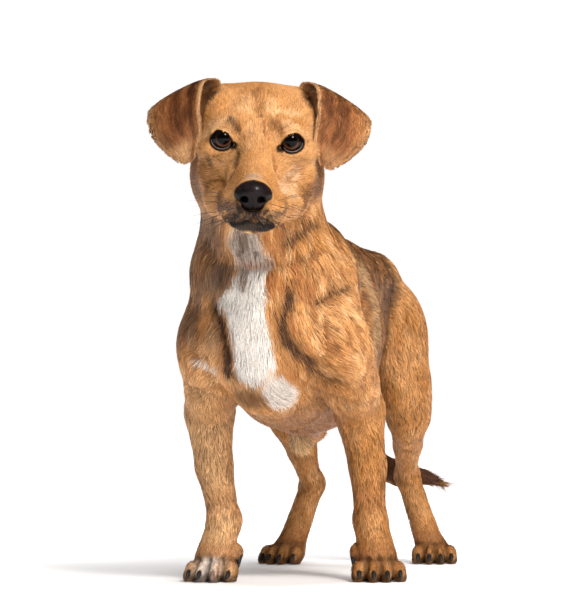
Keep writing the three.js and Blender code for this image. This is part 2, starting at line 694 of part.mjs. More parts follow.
// ---------------------------------------------------------------- sub-parts
const group = new THREE.Group();

function addNode(name, solid, color, roughness = 0.9) {
  const material = new THREE.MeshStandardMaterial({ color, roughness, metalness: 0 });
  const mesh = new THREE.Mesh(geometryOf(solid), material);
  mesh.name = name;
  group.add(mesh);
}

let head = surfaceSolid(bodyField, ...HEAD_BOX, CELL.head);
head = head.intersect(headCut.behind).subtract(noseSolid(POCKET));
addNode('nose', noseSolid(0), COLOUR.nose, 0.45);
for (const [name, side] of Object.entries({ left: 1, right: -1 })) {
  head = head.subtract(eyeSolid(side, POCKET)).subtract(earSolid(side, POCKET));
  addNode(`eye_${name}`, eyeSolid(side, 0), COLOUR.eye, 0.15);
  addNode(`ear_${name}`, earSolid(side, 0), COLOUR.ear);
}
addNode('head', head, COLOUR.tan);

const neck = surfaceSolid(bodyField, ...NECK_BOX, CELL.neck);
addNode('neck', neck.intersect(headCut.ahead).intersect(neckCut.behind), COLOUR.tan);

let trunk = surfaceSolid(bodyField, ...TRUNK_BOX, CELL.trunk);
trunk = trunk.intersect(neckCut.ahead).intersect(tailCut.behind);
for (const [name, leg] of Object.entries(LEGS)) {
  const cuts = legCuts(name, leg);
  trunk = trunk.intersect(outside(cuts));
  const joints = isFore(name) ? [leg.elbow, leg.paw, leg.toe] : [leg.hip, leg.stifle, leg.hock, leg.toe];
  const round = footprint(joints, LEG_REACH);
  const top = isFore(name) ? FORELEG_TOP + PAST_CUT : THIGH_TOP;
  const cell = isFore(name) ? CELL.foreleg : CELL.hindleg;
  const shank = surfaceSolid(bodyField, [...round.low, PAW_TOP - PAST_CUT], [...round.high, top], cell);
  const flesh = shank.intersect(within(cuts)).intersect(pawCut.ahead);
  addNode(name, isFore(name) ? flesh : flesh.subtract(tailSolid(TAIL_ROOM)), COLOUR.tan);

  const sole = footprint([leg.paw, leg.toe], PAW_REACH);
  let paw = surfaceSolid(bodyField, [...sole.low, -PAST_CUT], [...sole.high, PAW_TOP + PAST_CUT], CELL.paw);
  paw = paw.intersect(pawCut.behind).intersect(floor);
  clawPlaces(name, leg).forEach((claw, i) => {
    paw = paw.subtract(clawSolid(claw, POCKET));
    addNode(`claw_${name}_${i + 1}`, clawSolid(claw, 0), COLOUR.claw, 0.5);
  });
  addNode(name.replace('leg', 'paw'), paw, COLOUR.paw);
}
addNode('trunk', trunk, COLOUR.saddle);
addNode('tail', tailSolid(0).intersect(tailCut.ahead), COLOUR.tail);

// the origin is the middle of the whole dog's footprint, at floor level
const bounds = new THREE.Box3().setFromObject(group);
const middle = bounds.getCenter(new THREE.Vector3());
group.position.set(-middle.x, -middle.y, -bounds.min.z);

export default group;
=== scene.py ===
"""The looks of a small short-legged dog, life size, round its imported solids.

The body is planned in millimetres in the frame of the solids' own plan: +X the dog's left, -Y its
front, +Z up, soles on z = 0. One skin is found from a blended distance field, and short tufts of
coat lie over it. to_frame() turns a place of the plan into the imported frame, in metres.
"""

import math

import bpy
import numpy as np
from mathutils import Matrix, Vector
from mathutils.kdtree import KDTree


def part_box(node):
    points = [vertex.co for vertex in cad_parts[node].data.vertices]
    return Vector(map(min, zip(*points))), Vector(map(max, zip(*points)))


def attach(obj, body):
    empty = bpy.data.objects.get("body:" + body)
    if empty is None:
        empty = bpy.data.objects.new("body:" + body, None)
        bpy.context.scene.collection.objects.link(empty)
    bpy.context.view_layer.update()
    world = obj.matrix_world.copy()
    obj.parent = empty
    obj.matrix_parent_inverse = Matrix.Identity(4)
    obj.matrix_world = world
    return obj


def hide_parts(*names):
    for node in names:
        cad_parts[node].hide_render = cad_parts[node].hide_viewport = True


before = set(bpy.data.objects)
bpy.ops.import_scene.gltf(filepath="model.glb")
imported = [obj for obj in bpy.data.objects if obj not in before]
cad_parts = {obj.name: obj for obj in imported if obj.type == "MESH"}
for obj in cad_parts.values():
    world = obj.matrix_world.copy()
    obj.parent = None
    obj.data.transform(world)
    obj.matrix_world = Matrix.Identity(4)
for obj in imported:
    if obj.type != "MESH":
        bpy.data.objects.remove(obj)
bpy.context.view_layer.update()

# ------------------------------------------------------------------ driving dimensions, in mm
MM = 0.001
LEFT, BACK, UP = np.eye(3)
SIDES = {"left": 1, "right": -1}

HEAD = {"at": (2.6, -96.6, 327.5), "yaw": 10.5, "pitch": 17.5, "roll": 2.5}
EYE = {"radius": 9.6, "aside": 24.8, "back": 2.5, "up": 1.5}
LIDS = {"thick": 1.5, "half_wide": 7.5, "half_high": 5.7, "drop": 0.7, "tilt": 14.0, "outward": 0.22}
IRIS = {"limbus": 0.86, "pupil": 0.46, "bulge": 1.1}  # angles from the gaze, and the cornea's rise
NOSE = {"back": -62.5, "up": -23.5, "wide": 14, "deep": 10, "high": 11.3, "lean": 1.5}
EAR = {"thick": 3.6, "bow": 7, "crest": 2.5, "fold_at": 0.3, "skin": 2.0}
EAR_FRONT_EDGE = [(27, 36, 28), (31, 33, 39), (41, 26, 38), (43, 17, 22), (42, 13, 4), (47, 12, -21)]
EAR_REAR_EDGE = [(42, 54, 6), (66, 54, 14), (83, 44, 10), (81, 31, -4), (69, 20, -15), (54, 12, -23)]
FORE_PAW = {"spread": 14.8, "toe_long": 17, "toe_wide": 6}
HIND_PAW = {"spread": 13.2, "toe_long": 17, "toe_wide": 5.5}
OUTER_TOE_BACK = 7
KNUCKLE = {"up": 9, "deep": 7}
CLAW = {"long": 7.5, "thick": 2.5, "droop": 0.6, "up": 7, "ahead": 5}
DEWCLAW = {"long": 7, "thick": 2.1, "aside": 18.5, "back": 6, "up": 19, "dip": 0.9}

SPINE = [(-8, -68), (-5, 40), (0, 150), (3, 290)]  # the body's middle line: x at y
LEGS = {
    "foreleg_left": {"side": 1, "elbow": (52, 50, 128), "wrist": (61, 43, 46),
                     "paw": (68, 35, 0), "toe": (74, 14, 0)},
    "foreleg_right": {"side": -1, "elbow": (-63.5, 36, 128), "wrist": (-48.5, 20, 46),
                      "paw": (-53.5, 8, 0), "toe": (-54.5, -14, 0)},
    "hindleg_left": {"side": 1, "hip": (44, 240, 200), "stifle": (54, 250, 128),
                     "hock": (41, 321, 74), "paw": (67.5, 300, 0), "toe": (72.5, 276, 0)},
    "hindleg_right": {"side": -1, "hip": (-34, 236, 200), "stifle": (-42, 232, 128),
                      "hock": (-36.5, 300, 66), "paw": (-53.5, 270, 0), "toe": (-58.5, 244, 0)},
}
TAIL = [(3, 286, 226), (3, 318, 198), (0, 338, 147), (-3, 348, 106), (8, 354, 82), (28, 358, 73.5),
        (48, 361, 71), (66, 364, 63)]
TAIL_RADIUS = [16, 13, 12.5, 12.5, 13, 12, 7.4, 2]
TAIL_FLAT = 0.85

# grid planes: from each place on, cells of that size
GRID = {
    "x": [(-100, 2.2), (-76, 1.25), (-44, 0.9), (50, 1.25), (92, 2.2), (106, None)],
    "y": [(-182, 0.9), (-92, 1.25), (-24, 2.4), (390, None)],
    "z": [(-5, 1.25), (34, 2.4), (254, 1.25), (282, 0.9), (352, 1.25), (394, None)],
}
# depth of the coat over the skin, from the skin to the tips
DEPTH = {"body": 2.8, "throat": 3.4, "leg": 1.9, "paw": 1.2, "head": 1.2, "face": 0.9, "bare": 0.15}
# each region's tufts: how long and wide, how many to a square millimetre
TUFTS = {
    "head": {"long": 5.4, "wide": 0.38, "dense": 1.75},
    "ear": {"long": 6.5, "wide": 0.46, "dense": 1.4},
    "trunk": {"long": 13, "wide": 0.6, "dense": 0.95},
    "leg": {"long": 7.4, "wide": 0.5, "dense": 1.1},
    "tail": {"long": 15, "wide": 0.7, "dense": 1.2},
}
SEED = 7

CAMERA = {"azimuth": 12.0, "distance": 2600.0, "height": 150.0, "tilt": 1.32, "lens": 201.2, "sensor": 36,
          "clip": 60000.0}


# ------------------------------------------------------------------ small helpers
def unit(vectors):
    """Vectors of length 1 that point the same way."""
    vectors = np.asarray(vectors, float)
    return vectors / (np.linalg.norm(vectors, axis=-1, keepdims=True) + 1e-12)


def smooth(low, high, value):
    """0 at low, 1 at high, and soft in between."""
    t = np.clip((value - low) / (high - low), 0, 1)
    return t * t * (3 - 2 * t)


def mix(a, b, share):
    """A blend of colours or vectors, by one share or by one for each."""
    share = np.asarray(share)[..., None] if np.ndim(share) else share
    return a * (1 - share) + b * share


def toward(a, b, share):
    """Part of the way from a number, or an array of them, to another."""
    return a + (b - a) * share


def rotation(axis, degrees):
    return np.array(Matrix.Rotation(math.radians(degrees), 3, axis))


HEAD_AT = np.array(HEAD["at"], float)
HEAD_TURN = rotation("Z", HEAD["yaw"]) @ rotation("X", HEAD["pitch"]) @ rotation("Y", HEAD["roll"])


def in_head(points):
    """The place in the plan of points given in the head's own frame."""
    return HEAD_AT + np.asarray(points, float) @ HEAD_TURN.T


def to_head(points):
    """A place of the plan in the head's own frame."""
    return (points - HEAD_AT) @ HEAD_TURN


def spine_x(y):
    """How far aside the body's middle line runs at y."""
    return np.interp(y, [at for _, at in SPINE], [x for x, _ in SPINE])


def body(aside, y, z):
    """A place given by its distance from the body's middle line."""
    return np.array([spine_x(y) + aside, y, z])


eye_low, eye_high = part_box("eye_left")
OFFSET = np.array((eye_low + eye_high) / 2) / MM - in_head((EYE["aside"], EYE["back"], EYE["up"]))


def to_frame(points):
    """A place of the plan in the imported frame, in metres."""
    return (np.asarray(points, float) + OFFSET) * MM


CORNERS = [(i & 1, i >> 1 & 1, i >> 2 & 1) for i in range(8)]  # of a cell


class Noise:
    """Smooth noise from -1 to 1 on a lattice of random numbers."""

    def __init__(self, seed, size=32):
        self.size = size
        self.table = np.random.default_rng(seed).uniform(-1, 1, (size, size, size)).astype(np.float32)

    def __call__(self, points, scale):
        q = np.asarray(points, np.float32) / np.asarray(scale, np.float32)
        cell = np.floor(q).astype(np.int32)
        f = q - cell
        f = f * f * (3 - 2 * f)
        total = np.zeros(len(q), np.float32)
        for step in np.array(CORNERS):
            weight = np.prod(np.where(step, f, 1 - f), axis=1)
            at = (cell + step) % self.size
            total += weight * self.table[at[:, 0], at[:, 1], at[:, 2]]
        return total * 1.6


noise = Noise(SEED)


# ------------------------------------------------------------------ flesh as a distance field
class Sweep:
    """An ellipse swept from one point to another. wide is its half-width along side at each end,
    deep its other half-width, cap how far each end bulges on, blend how softly it meets the rest."""

    def __init__(self, start, end, wide, deep, blend, side=LEFT, cap=None, carve=False):
        self.start = np.array(start, float)
        end = np.array(end, float)
        self.length = float(np.linalg.norm(end - self.start))
        self.axis = (end - self.start) / self.length
        across = unit(side - self.axis * (side @ self.axis))
        self.turn = np.stack([self.axis, across, np.cross(self.axis, across)])
        ends = cap or [(a + b) / 2 for a, b in zip(wide, deep)]
        self.size = [tuple(map(float, pair)) for pair in (ends, wide, deep)]
        self.blend, self.carve = blend, carve
        reach = max(map(max, self.size)) + blend + 8
        self.low = np.minimum(self.start, end) - reach
        self.high = np.maximum(self.start, end) + reach

    def distance(self, x, y, z):
        x, y, z = x - self.start[0], y - self.start[1], z - self.start[2]
        local = [row[0] * x + row[1] * y + row[2] * z for row in self.turn.astype(np.float32)]
        along = np.clip(local[0], 0, self.length)
        t = along / self.length
        local[0] = local[0] - along
        reach = slope = 0
        for value, (first, last) in zip(local, self.size):
            size = first + (last - first) * t
            share = value / size
            reach = reach + share * share
            slope = slope + (share / size) ** 2
        reach = np.sqrt(reach)
        return reach * (reach - 1) / (np.sqrt(slope) + 1e-6)


def mass(at, size, blend, head=False, carve=False):
    """A round mass, with its half-sizes along the dog's left, back and up, or along the head's."""
    wide, long, deep = size
    start = in_head(at) if head else np.array(at, float)
    back, left = (HEAD_TURN @ BACK, HEAD_TURN @ LEFT) if head else (BACK, LEFT)
    return Sweep(start, start + back * 1e-3, (wide, wide), (deep, deep), blend, left, (long, long), carve)


def head_sweep(start, end, wide, deep, blend, side=LEFT, **rest):
    return Sweep(in_head(start), in_head(end), wide, deep, blend, HEAD_TURN @ side, **rest)


def soft_min(a, b, k):
    """The lower of two distances, blended where they are less than k apart."""
    h = np.maximum(k - np.abs(a - b), 0) / k
    return np.minimum(a, b) - h * h * h * (k / 6)


FAR = 60.0  # the distance where nothing is near


def join(value, flesh, x, y, z):
    """A field with one more sweep added to it, or carved out of it."""
    d = flesh.distance(x, y, z)
    return -soft_min(-value, d, flesh.blend) if flesh.carve else soft_min(value, d, flesh.blend)


def field_at(points, fleshes):
    """The blended distance at a list of points."""
    points = np.asarray(points, np.float32)
    value = np.full(len(points), FAR, np.float32)
    for flesh in fleshes:
        near = np.flatnonzero(((points > flesh.low) & (points < flesh.high)).all(axis=1))
        if len(near):
            value[near] = join(value[near], flesh, *points[near].T)
    return value


def slope_at(points, fleshes, step=0.3):
    """The blended distance's slope, which points out of the flesh."""
    return np.stack([field_at(points + step * axis, fleshes) - field_at(points - step * axis, fleshes)
                     for axis in np.eye(3)], 1) / (2 * step)


# ------------------------------------------------------------------ muscles
def head_flesh():
    fleshes = [
        mass((0, 42, -2), (44, 50, 36), 14, head=True),
        head_sweep((-25, 42, 20), (25, 42, 20), (22, 22), (13, 13), 12, BACK, cap=(12, 12)),
        head_sweep((0, -2, -20), (0, -54, -30), (24, 16.5), (22, 17), 14, cap=(22, 16)),
        head_sweep((0, 0, -4), (0, -59, -19), (12, 10), (10, 7), 10),
        head_sweep((0, 36, -46), (0, -47, -45.5), (31, 18), (15, 9.5), 10),
        mass((0, -53, -47.5), (12.5, 9, 7), 6, head=True),
        mass((-3, 50, -38), (42, 34, 30), 16, head=True),
    ]
    for s in (-1, 1):
        fleshes += [
            mass((s * 19, 5, 10.5), (15, 11, 9), 10, head=True),
            head_sweep((s * 30, 24, 4), (s * 30, 54, 0), (14, 13), (26, 28), 12),
            head_sweep((s * 29, 10, -25), (s * 33.2, 42, -34), (15, 17.2), (17, 28), 12),
            mass((s * 33, 12, -8), (11.5, 20, 9), 10, head=True),
            mass((s * 20, -4, -13), (12, 12, 8), 8, head=True),
            head_sweep((s * 14, -51, -37.5), (s * 25, -12, -42), (10.5, 10.5), (12, 13), 8),
            head_sweep((s * 25, -12, -42), (s * 31, 10, -44), (10.5, 9), (13, 12.5), 8),
            mass((s * 26.5, -9, 1), (10.5, 7.5, 8.5), 5, head=True, carve=True),
        ]
    return fleshes


def trunk_flesh():
    nape, gullet = in_head((-3, 46, -18)), in_head((0, 20, -44))
    fleshes = [
        Sweep((-7, -14, 240), nape, (53, 40.5), (50, 42), 26, cap=(44, 36)),
        Sweep((-10, -30, 238), (-5, 0, 225), (54, 61), (36, 40), 26, cap=(30, 30)),
        Sweep((-7, -44, 236), gullet, (34, 30), (28, 26), 18, cap=(24, 24)),
        Sweep(body(0, -2, 198), body(0, 92, 189), (52, 59), (68, 77.5), 30, cap=(52, 46)),
        Sweep(body(0, 112, 187), body(0, 196, 203), (58, 44), (76, 55), 30, cap=(50, 44)),
        Sweep(body(0, 190, 207), body(0, 256, 208), (44, 38), (53, 44), 26, cap=(40, 34)),
        mass(body(2, 26, 238), (39, 54, 38), 24),
        mass(body(0, -34, 190), (49, 36, 48), 22),
        Sweep(body(0, -20, 156), body(0, 40, 146), (26, 34), (28, 30), 20, cap=(24, 24)),
        Sweep((-8, 112, 105), (-6, 160, 116), (9, 11), (10, 12), 18),
        Sweep((3, 246, 222), (3, 276, 229), (24, 16), (22, 16), 16, cap=(20, 9)),
    ]
    for s in (-1, 1):
        point = 51 if s > 0 else 45.5  # the right shoulder stands closer in
        fleshes += [
            Sweep(body(s * 31, 30, 240), body(s * point, -14, 184), (25, 23), (42, 34), 18),
            Sweep(body(s * point, -14, 182), body(s * (point + 5), 20, 150), (22, 19), (32, 26), 16),
            Sweep(body(s * 28, 228, 226), body(s * 37, 255, 190), (22, 24), (36, 38), 18),
            Sweep(body(s * 26, 60, 239), body(s * 25, 214, 235), (27, 24), (27, 23), 26),
        ]
    return fleshes


def paw_frame(leg):
    """The paw's directions: ahead to the toes and inward to the dog's middle, and a place in them."""
    paw = np.array(leg["paw"], float)
    ahead = unit(np.array(leg["toe"]) - paw)
    inward = unit(np.cross(ahead, UP)) * leg["side"]
    return ahead, inward, lambda inner, forward, high: paw + inward * inner + ahead * forward + UP * high


def paw_size(name):
    return FORE_PAW if name.startswith("fore") else HIND_PAW


def toe_places(size):
    """How far each of the four toes stands from the paw's middle, and how far its knuckle reaches."""
    return [(share * size["spread"], size["toe_long"] - (OUTER_TOE_BACK if abs(share) == 1 else 0))
            for share in (-1, -0.34, 0.34, 1)]


def paw_flesh(leg, size):
    _, inward, at = paw_frame(leg)
    spread, wide, deep = size["spread"], (size["toe_wide"],) * 2, (KNUCKLE["deep"],) * 2
    fleshes = [Sweep(at(0, -8, 10), at(0, 6, 7), (spread + 1, spread + 2), (13.5, 11), 8, inward, (11, 9))]
    for inner, reach in toe_places(size):
        knuckle = at(inner, reach - 3, KNUCKLE["up"])
        fleshes += [
            Sweep(at(inner * 0.8, 2, KNUCKLE["up"]), knuckle, wide, deep, 4, inward),
            Sweep(knuckle, at(inner * 1.06, reach + 3, 4), wide, deep, 3, inward, (6.5, 6.5)),
        ]
    return fleshes


def foreleg_flesh(leg):
    elbow, wrist = np.array(leg["elbow"], float), np.array(leg["wrist"], float)
    _, inward, at = paw_frame(leg)
    middle = (elbow + wrist) / 2 + (leg["side"] * 2.2, -2, 0)
    shoulder = body(54 if leg["side"] > 0 else -47, -6, 172)
    return [
        Sweep(shoulder, elbow + (0, -3, 6), (23, 18), (31, 23), 14),
        Sweep(elbow, elbow + (0, 6, -8), (17, 15), (18, 16), 10),
        Sweep(elbow + (0, -4, 0), middle, (19, 14.2), (19, 16), 10),
        Sweep(middle, wrist, (14.2, 12), (15.5, 12), 8),
        mass(wrist + (0, -1, 0), (12.8, 13, 13), 8),
        Sweep(wrist, at(0, 1, 18), (12.5, 15.5), (12, 12), 8, inward),
        mass(at(15.5, -6, 22), (6, 6, 8), 5),
        *paw_flesh(leg, FORE_PAW),
    ]


def hindleg_flesh(leg):
    hip, stifle, hock = (np.array(leg[name], float) for name in ("hip", "stifle", "hock"))
    _, inward, at = paw_frame(leg)
    above_stifle = stifle * 0.7 + hip * 0.3
    shin = (stifle + hock) / 2 + (0, 3, 0)
    return [
        Sweep(hip, above_stifle, (25, 21.5), (44, 36), 18, cap=(34, 30)),
        Sweep(hip + (0, 30, -8), stifle + (-leg["side"] * 2, 42, 10), (21, 16), (22, 17), 18),
        Sweep(above_stifle, stifle, (21, 18), (34, 24), 14),
        Sweep(stifle + (0, 6, -4), shin, (17, 12), (24, 16), 12),
        Sweep(shin, hock + (0, -3, 0), (12, 8.5), (16, 11), 8),
        Sweep(stifle + (0, 36, 0), hock + (0, 6, 8), (9, 5), (12, 5.5), 12),
        mass(hock, (10.5, 12, 12), 8),
        Sweep(hock + (0, 8, 6), hock + (0, 8, -2), (7, 7), (7, 7), 6),
        Sweep(hock, at(4, -5, 18), (10, 12), (10.5, 10.5), 8, inward),
        *paw_flesh(leg, HIND_PAW),
    ]


def tail_flesh():
    steps = zip(TAIL, TAIL[1:], TAIL_RADIUS, TAIL_RADIUS[1:])
    return [Sweep(start, end, (a * TAIL_FLAT, b * TAIL_FLAT), (a, b), 5) for start, end, a, b in steps]


FLESH = {"trunk": trunk_flesh(), "head": head_flesh()}
FLESH.update({name: foreleg_flesh(leg) if name.startswith("fore") else hindleg_flesh(leg)
              for name, leg in LEGS.items()})
BODY = [flesh for fleshes in FLESH.values() for flesh in fleshes]
FLESH["tail"] = tail_flesh()


# ------------------------------------------------------------------ what only the skin shows
def onto_surface(points):
    """The body's surface at its places nearest to some points."""
    points = np.array(points, float)
    for _ in range(6):
        slope = slope_at(points, BODY)
        points -= slope * (field_at(points, BODY) / ((slope**2).sum(1) + 1e-6))[:, None]
    return points


def crease(points, wide, deep, blend=3.0, head=False):
    """A groove along the surface, through the surface's points nearest to those given."""
    points = onto_surface(in_head(points) if head else points)
    points = points + unit(slope_at(points, BODY)) * (wide - deep)
    sizes = [wide] * len(points)
    sizes[0] = sizes[-1] = wide * 0.7
    return [Sweep(a, b, (i, j), (i, j), blend, carve=True)
            for a, b, i, j in zip(points, points[1:], sizes, sizes[1:])]


def eye_frame(s):
    """An eye's centre, the way it looks, its outward direction in the lids' plane, and its up."""
    centre = in_head((s * EYE["aside"], EYE["back"], EYE["up"]))
    ahead = HEAD_TURN @ unit((s * LIDS["outward"], -1, 0.03))
    level = unit(np.cross(UP, ahead)) * s
    high = unit(np.cross(ahead, level)) * (1 if np.cross(ahead, level)[2] > 0 else -1)
    angle = math.radians(LIDS["tilt"])
    outward = math.cos(angle) * level + math.sin(angle) * high
    return centre, ahead, outward, math.cos(angle) * high - math.sin(angle) * level


def lid_flesh(s):
    """A shell of lid round the eyeball, its almond opening, the tear notch and the lid's fold."""
    centre, ahead, outward, high = eye_frame(s)
    shell = (EYE["radius"] + LIDS["thick"],) * 2
    wide, deep = LIDS["half_wide"], LIDS["half_high"]
    inner = centre - outward * (wide - 0.5) - high * 1.6
    slit = centre - high * LIDS["drop"]
    fleshes = [
        Sweep(centre, centre + ahead * 1e-3, shell, shell, 3.5, cap=shell),
        Sweep(slit + ahead * 3, slit + ahead * 18, (wide, wide + 2), (deep, deep + 2), 1.0, outward,
              (1, 3), carve=True),
        Sweep(inner + ahead * 4, inner + ahead * 18, (3.2, 4.5), (1.6, 3), 1.0, outward, (1, 3), carve=True),
    ]
    for share, up, width in ((1.42, 1, 1.3), (1.5, -1, 1.5)):
        arc = [centre + ahead * 10 + outward * (wide * 1.15 * math.cos(a))
               + high * (up * deep * share * math.sin(a) + up * 0.6)
               for a in np.linspace(0.45, 2.7, 9)]
        fleshes += crease(arc, width, 0.75, 2.2)
    return fleshes


def face_folds():
    folds = []
    for s in (-1, 1):
        # beside the muzzle, from the tear notch down, and between cheek and lip
        folds += crease([(s * 13, -16, -6), (s * 15, -29, -13), (s * 18, -33, -20)], 4.0, 1.3, 4, head=True)
        folds += crease([(s * 27, -14, -18), (s * 29, -16, -28), (s * 32, -10, -38)], 4.0, 1.1, 5, head=True)
        # the frown over the inner end of each brow
        folds += crease([(s * 8.5, -6, 5), (s * 6.5, -3, 11), (s * 6.3, 3, 17)], 2.6, 0.8, 3, head=True)
        folds += crease([(s * 14.5, -5, 8.5), (s * 18, -2, 16)], 3.4, 1.0, 4, head=True)
        # the mouth's line
        folds += crease([(0, -72, -41.5), (s * 6, -70, -43.6), (s * 12.5, -63, -46), (s * 18, -52, -48),
                         (s * 24, -32, -52), (s * 29, -12, -53), (s * 32, 2, -50)], 1.6, 1.7, 1.6, head=True)
    # the groove under the nose, and the hollow over it between the brows
    folds += crease([(0, -73, -34), (0, -72, -38), (0, -71, -41.5)], 1.2, 1.2, 1.6, head=True)
    folds += crease([(0, -2, 10), (0, 6, 20), (0, 20, 33)], 6, 0.8, 6, head=True)
    return folds


# the trunk's folds, with painted shade along them: places along each, half-width, depth and how dark the
# painted shade is
BREAST_FOLDS = [
    ([(-38, -54, 212), (-33, -57, 199), (-29, -60, 186), (-28, -57, 171), (-28, -54, 160)],
     4.5, 2.6, 0.9),
    ([(19, -60, 220), (17, -59, 207), (13, -60, 197), (15.6, -58, 184), (22.3, -52, 175), (31, -46, 168)],
     5.0, 2.6, 0.85),
    ([(36, -44, 212), (44, -34, 217), (53, -20, 222.6)], 4.0, 1.8, 0.65),
    ([(28, -48, 169), (35, -31, 158), (54, -25, 151)], 4.5, 1.2, 0.5),
    ([(34, -48, 270), (27, -60, 262), (20, -66, 256)], 5.5, 1.6, 0.6),
    ([(-46, -48, 258), (-30, -62, 243), (-8, -70, 238), (12, -68, 240), (36, -50, 248)], 4.0, 2.4, 0.25),
    ([(-15, -69, 231), (-13, -70, 226)], 2.5, 0.8, 0.6),
]


def body_folds():
    folds = []
    for line, wide, deep, _ in BREAST_FOLDS:
        folds += crease(line, wide, deep, wide * 1.3)
    # elbows and armpits
    folds += crease([(-70, 0, 152), (-52, -20, 145), (-34, -26, 142)], 6, 2.0, 7)
    folds += crease([(28, -24, 140), (44, -12, 134), (60, -8, 132)], 6, 2.2, 7)
    # the flank's fold in front of each thigh
    for s in (-1, 1):
        folds += crease([body(s * 46, 196, 226), body(s * 52, 202, 196), body(s * 48, 208, 164)], 8, 2.0, 10)
        folds += crease([body(s * 62, 66, 236), body(s * 70, 60, 200), body(s * 72, 56, 168)], 7, 1.8, 9)
    return folds


def toe_folds():
    """The clefts between the toes."""
    folds = []
    for name, leg in LEGS.items():
        _, _, at = paw_frame(leg)
        places = toe_places(paw_size(name))
        for (inner, reach), (other, far) in zip(places, places[1:]):
            middle, ahead = (inner + other) / 2, (reach + far) / 2
            folds += [Sweep(at(middle * 0.9, ahead - 4, 18), at(middle, ahead + 2, 13), (0.9, 1.2),
                            (2.0, 2.2), 2.5, carve=True),
                      Sweep(at(middle, ahead + 2, 13), at(middle * 1.04, ahead + 7, 1), (1.2, 1.5),
                            (2.4, 2.4), 2.5, carve=True)]
    return folds


# ------------------------------------------------------------------ ears
def edge_curve(points, t):
    """A Catmull-Rom curve through an edge's points, at each t from 0 to 1."""
    points = np.array(points, float)
    points = np.vstack([2 * points[0] - points[1], points, 2 * points[-1] - points[-2]])
    last = len(points) - 3
    q = np.clip(t, 0, 1) * last
    i = np.minimum(q.astype(int), last - 1)
    w = (q - i)[..., None]
    a, b, c, d = (points[i + k] for k in range(4))
    return 0.5 * (2 * b + (c - a) * w + (2 * a - 5 * b + 4 * c - d) * w**2 + (3 * b - a - 3 * c + d) * w**3)


def ear_middle(u, v):
    """The ear's middle sheet in the head's frame: u from its front edge to its rear, v to its tip."""
    bow = 4 * u * (1 - u) * np.sin(math.pi * np.clip(v, 0, 1))
    fold = np.clip((v - EAR["fold_at"]) * 3, -1, 1)
    place = mix(edge_curve(EAR_FRONT_EDGE, v), edge_curve(EAR_REAR_EDGE, v), u)
    place[..., 1] -= bow * EAR["bow"] * fold
    place[..., 2] += np.where(v < 0.5, bow * EAR["crest"], 0)
    # soft lengthwise ripples, and the front edge turned a little outwards
    place[..., 1] -= 0.9 * np.sin(9 * u + 2 * v) * smooth(0.25, 0.6, v) * smooth(1, 0.7, v)
    place[..., 1] -= 2.2 * np.exp(-((u / 0.12) ** 2)) * smooth(0.2, 0.45, v)
    return place


class Ear:
    """Samples over one ear's sheet, for the distance to it and for the lie of its coat."""

    ACROSS, ALONG = 84, 92

    def __init__(self, s):
        u, v = np.meshgrid(np.linspace(0, 1, self.ACROSS), np.linspace(0, 1, self.ALONG))
        u, v = u.ravel(), v.ravel()
        step = 0.01
        mirror = np.array([s, 1, 1])

        def place(a, b):  # a little inside the flap's outline, to leave room for the hair
            a, b = 0.025 + 0.95 * np.clip(a, 0, 1), 0.965 * np.clip(b, 0, 1)
            return in_head(ear_middle(a, b) * mirror)

        self.u, self.v = u, v
        self.points = place(u, v)
        self.down = unit(place(u, v + step) - place(u, v - step))
        across = unit(place(u + step, v) - place(u - step, v))
        self.out = unit(np.cross(self.down, across)) * s
        edge = np.minimum(1, 0.55 + 2.2 * np.minimum(u, 1 - u)) * np.minimum(1, 0.55 + 3 * (1 - v))
        self.half = EAR["skin"] / 2 * edge
        self.tree = KDTree(len(u))
        for i, point in enumerate(self.points):
            self.tree.insert(point, i)
        self.tree.balance()
        self.low, self.high = self.points.min(0) - 8, self.points.max(0) + 8

    def nearest(self, points):
        """Each point's nearest sample."""
        return np.array([self.tree.find(point)[1] for point in points.tolist()])

    def distance(self, points, nearest=None):
        i = self.nearest(points) if nearest is None else nearest
        offset = points - self.points[i]
        normal = (offset * self.out[i]).sum(1)
        aside = np.linalg.norm(offset - normal[:, None] * self.out[i], axis=1)
        return np.hypot(normal, np.maximum(aside - 0.6, 0)) - self.half[i]


EARS = {name: Ear(s) for name, s in SIDES.items()}


# ------------------------------------------------------------------ the skin's field on a grid
def planes(stops):
    """An axis's grid planes, from its stretches."""
    rows = [np.arange(start, end, cell) for (start, cell), (end, _) in zip(stops, stops[1:])]
    return np.concatenate(rows).astype(np.float32)


def coat_depth(x, y, z):
    """How deep the coat is over the skin near a place."""

    def away_from(place):
        return np.sqrt((x - place[0]) ** 2 + (y - place[1]) ** 2 + (z - place[2]) ** 2)

    from_nose = away_from(in_head((0, -62, -30)))
    throat = smooth(-30, -60, y) * smooth(262, 246, z) * smooth(150, 180, z)
    depth = toward(DEPTH["body"], DEPTH["leg"], smooth(150, 100, z))
    depth = toward(depth, DEPTH["paw"], smooth(42, 22, z))
    depth = toward(depth, DEPTH["throat"], throat)
    depth = toward(depth, DEPTH["head"], smooth(86, 62, away_from(in_head((0, 20, -12)))))
    depth = toward(depth, DEPTH["face"], smooth(60, 40, from_nose))
    depth = toward(depth, DEPTH["bare"], smooth(17, 12, from_nose))
    for s in (-1, 1):
        centre, ahead, _, _ = eye_frame(s)
        depth = toward(depth, DEPTH["bare"], smooth(14, 10, away_from(centre + ahead * 7)))
    return depth


